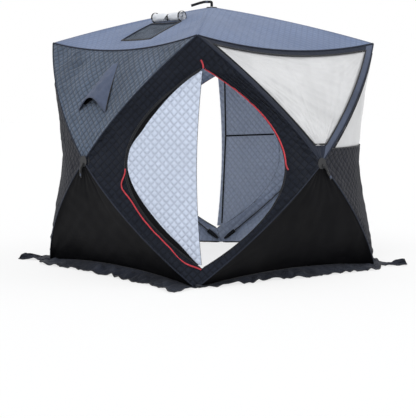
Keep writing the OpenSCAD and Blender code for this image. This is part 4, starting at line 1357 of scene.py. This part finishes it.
# ---- Hubs, straps, poles and pockets ----
def make_hub_details():
    patches, pulls, stitches = [], [], []
    a = np.linspace(0, math.tau, 49)[:-1]
    f = np.linspace(0, 1, 26)
    for k in range(4):
        for radius in (0.050, 0.062):
            circle = HUB + np.stack([radius * np.cos(a), 0 * a + 0.002 + 0.9 * (radius - 0.04),
                                     radius * np.sin(a)], 1)
            closed = np.concatenate([circle, circle[:2]])
            out = closed - (HUB + [0, 0.30, 0])
            out /= np.linalg.norm(out, axis=1)[:, None]
            patches.append((turn(closed, k), turn(out, k)))
        sway = (0.088, 0.0, 0.02, -0.03)[k]
        path = HUB + np.stack([sway * f ** 0.8 + 0.004 * np.sin(f * 9),
                               -0.006 - 0.020 * np.sin(np.clip(f * 2.2, 0, 1) * math.pi * 0.5)
                               + 0.016 * f, -0.010 - 0.105 * f], 1)
        back = path + np.stack([0.006 * np.sin(f * math.pi), 0.0045 + 0 * f, 0 * f], 1)
        for layer in (path, back):
            pulls.append((turn(layer, k), turn(np.array([0, -1.0, 0.12]), k)))
        stitch = path[-7:-2] + [0, -0.002, 0]
        stitches.append((turn(stitch, k), turn(np.array([0, -1.0, 0]), k)))
    band("hub_patch_rings", patches, [binding_cloth], 0.011, 0.005)
    pull = band("hub_pull_straps", pulls, [strap_cloth], 0.022, 0.0022)
    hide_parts("hub_straps")
    band("hub_strap_stitching", stitches, [navy_cloth], 0.018, 0.003)


STRAP_HEADING, STRAP_SEAT = 139, 1.9730


def make_roof_strap():
    away, across = heading(STRAP_HEADING), heading(STRAP_HEADING - 90)
    f = np.linspace(0, 1, 44)
    route = np.array([[0.000, 0.006], [0.000, 0.022], [0.001, 0.038], [0.008, 0.042],
                      [0.030, 0.0425], [0.055, 0.042], [0.100, 0.031], [0.158, 0.012]])
    stops = np.linspace(0, 1, len(route))
    x, z = np.interp(f, stops, route[:, 0]), np.interp(f, stops, route[:, 1])
    for line in (x, z):
        line[1:-1] = (line[:-2] + 2 * line[1:-1] + line[2:]) / 4
    path = np.outer(x, away) + np.stack([0 * f, 0 * f, z + STRAP_SEAT], 1)
    out = np.broadcast_to(-across, path.shape)
    strap = band("roof_strap_webbing", [(path, out)], [strap_cloth], 0.020, 0.003)
    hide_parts("roof_strap")
    band("roof_strap_stitching", [(path[24:30] - 0.0016 * across, out[24:30])],
         [navy_cloth], 0.014, 0.0012)


POCKET_TIP, POCKET_DEPTH, POLE_STRETCH = 0.032, 0.025, 1.4


def pocket_runs():
    runs = []
    f = np.linspace(0, 1, 12)
    for k in range(4):
        for side in (-1, 1):
            for up in (True, False):
                length = UP_LENGTH if up else DOWN_LENGTH
                t = 1 - (POCKET_TIP + 0.110 * f) / (length * POLE_STRETCH)
                p = sunk(wall_pole(t, up, side), POCKET_DEPTH)
                runs.append((turn(p, k), turn(np.array([0, 1.0, 0]), k)))
        t = 1 - (POCKET_TIP + 0.088 * f) / (ROOF_LENGTH * POLE_STRETCH)
        p = sunk(roof_pole(t, 1), POCKET_DEPTH)
        runs.append((turn(p, k), turn(np.array([0, 0, 1.0]), k)))
    return runs


def make_pockets():
    f = np.linspace(0, 1, 12)
    width = 0.014 + 0.020 * np.sin(np.clip(f * 1.6, 0, 1) * math.pi / 2)
    piece = band("pole_pocket_cloth", pocket_runs(), [strap_cloth], width, 0.021,
                 sides=14, power=0.9,
                 wave=lambda s: 0.75 + 0.25 * min(s / 0.02, 1))
    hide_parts("pole_pockets")
    cuffs = [(p[9:11], o) for p, o in pocket_runs()]
    band("pole_pocket_cuffs", cuffs, [binding_cloth], 0.0355, 0.0225,
         sides=14, power=0.9)


def finish_frame_parts():
    for node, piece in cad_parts.items():
        if node.endswith("_poles"):
            finish = rod_glaze
        elif node.endswith(("_hubs", "_hub")):
            finish = hub_plastic
        else:
            continue
        piece.data.materials.clear()
        piece.data.materials.append(finish)


# ---- Floor, light and the order of the work ----
def make_floor_and_light():
    dye = Dye("pale_floor")
    path = dye.node("ShaderNodeLightPath")
    node = path.socket.node
    seen = Thread(dye, node.outputs["Is Camera Ray"]).most(
        Thread(dye, node.outputs["Is Glossy Ray"])).most(
        Thread(dye, node.outputs["Is Transmission Ray"]))
    matt = dye.node("ShaderNodeBsdfDiffuse", (), {"Color": (0.9, 0.9, 0.9, 1)})
    glow = dye.node("ShaderNodeEmission", (), {"Color": (1, 1, 1, 1), "Strength": 1.03})
    both = dye.node("ShaderNodeMixShader", (), {0: seen * 0.72, 1: matt, 2: glow})
    dye.node("ShaderNodeOutputMaterial", (), {"Surface": both})
    bm = bmesh.new()
    bmesh.ops.create_grid(bm, x_segments=1, y_segments=1, size=40)
    mesh = bpy.data.meshes.new("floor")
    bm.to_mesh(mesh)
    bm.free()
    mesh.materials.append(dye.material)
    floor = bpy.data.objects.new("floor", mesh)
    bpy.context.scene.collection.objects.link(floor)

    world = bpy.data.worlds.new("studio")
    bpy.context.scene.world = world
    world.use_nodes = True
    nodes, links = world.node_tree.nodes, world.node_tree.links
    nodes.clear()
    path = nodes.new("ShaderNodeLightPath")
    glow, lit = nodes.new("ShaderNodeBackground"), nodes.new("ShaderNodeBackground")
    glow.inputs["Color"].default_value = (1, 1, 1, 1)
    lit.inputs["Color"].default_value = (0.97, 0.985, 1, 1)
    lit.inputs["Strength"].default_value = 0.72
    seen = path.outputs["Is Camera Ray"]
    for ray in ("Is Glossy Ray", "Is Transmission Ray"):
        most = nodes.new("ShaderNodeMath")
        most.operation = "MAXIMUM"
        links.new(seen, most.inputs[0])
        links.new(path.outputs[ray], most.inputs[1])
        seen = most.outputs[0]
    mixed = nodes.new("ShaderNodeMixShader")
    links.new(seen, mixed.inputs[0])
    links.new(lit.outputs[0], mixed.inputs[1])
    links.new(glow.outputs[0], mixed.inputs[2])
    out = nodes.new("ShaderNodeOutputWorld")
    links.new(mixed.outputs[0], out.inputs[0])

    for name, way, power, spread in (("key", (-0.62, -0.38, 0.80), 1.15, 28),
                                     ("fill", (0.75, -0.45, 0.5), 0.35, 40)):
        lamp = bpy.data.objects.new(name, bpy.data.lights.new(name, "SUN"))
        lamp.data.energy = power
        lamp.data.angle = math.radians(spread)
        lamp.rotation_euler = Vector(way).to_track_quat("Z", "Y").to_euler()
        bpy.context.scene.collection.objects.link(lamp)
    inner = bpy.data.objects.new("inner", bpy.data.lights.new("inner", "POINT"))
    inner.data.energy = 4.4
    inner.data.shadow_soft_size = 0.4
    inner.location = (0.1, 0.1, 0.80)
    bpy.context.scene.collection.objects.link(inner)
    bpy.context.scene.view_settings.view_transform = "Standard"


make_floor_and_light()
make_roof()
make_roof_window()
make_rolled_cover()
make_quilted_walls()
make_window_walls()
make_wall_bases()
make_vents()
make_corners()
make_pole_tapes()
make_surrounds()
make_zips()
make_door_leaves()
make_skirt()
make_hub_details()
make_roof_strap()
make_pockets()
finish_frame_parts()
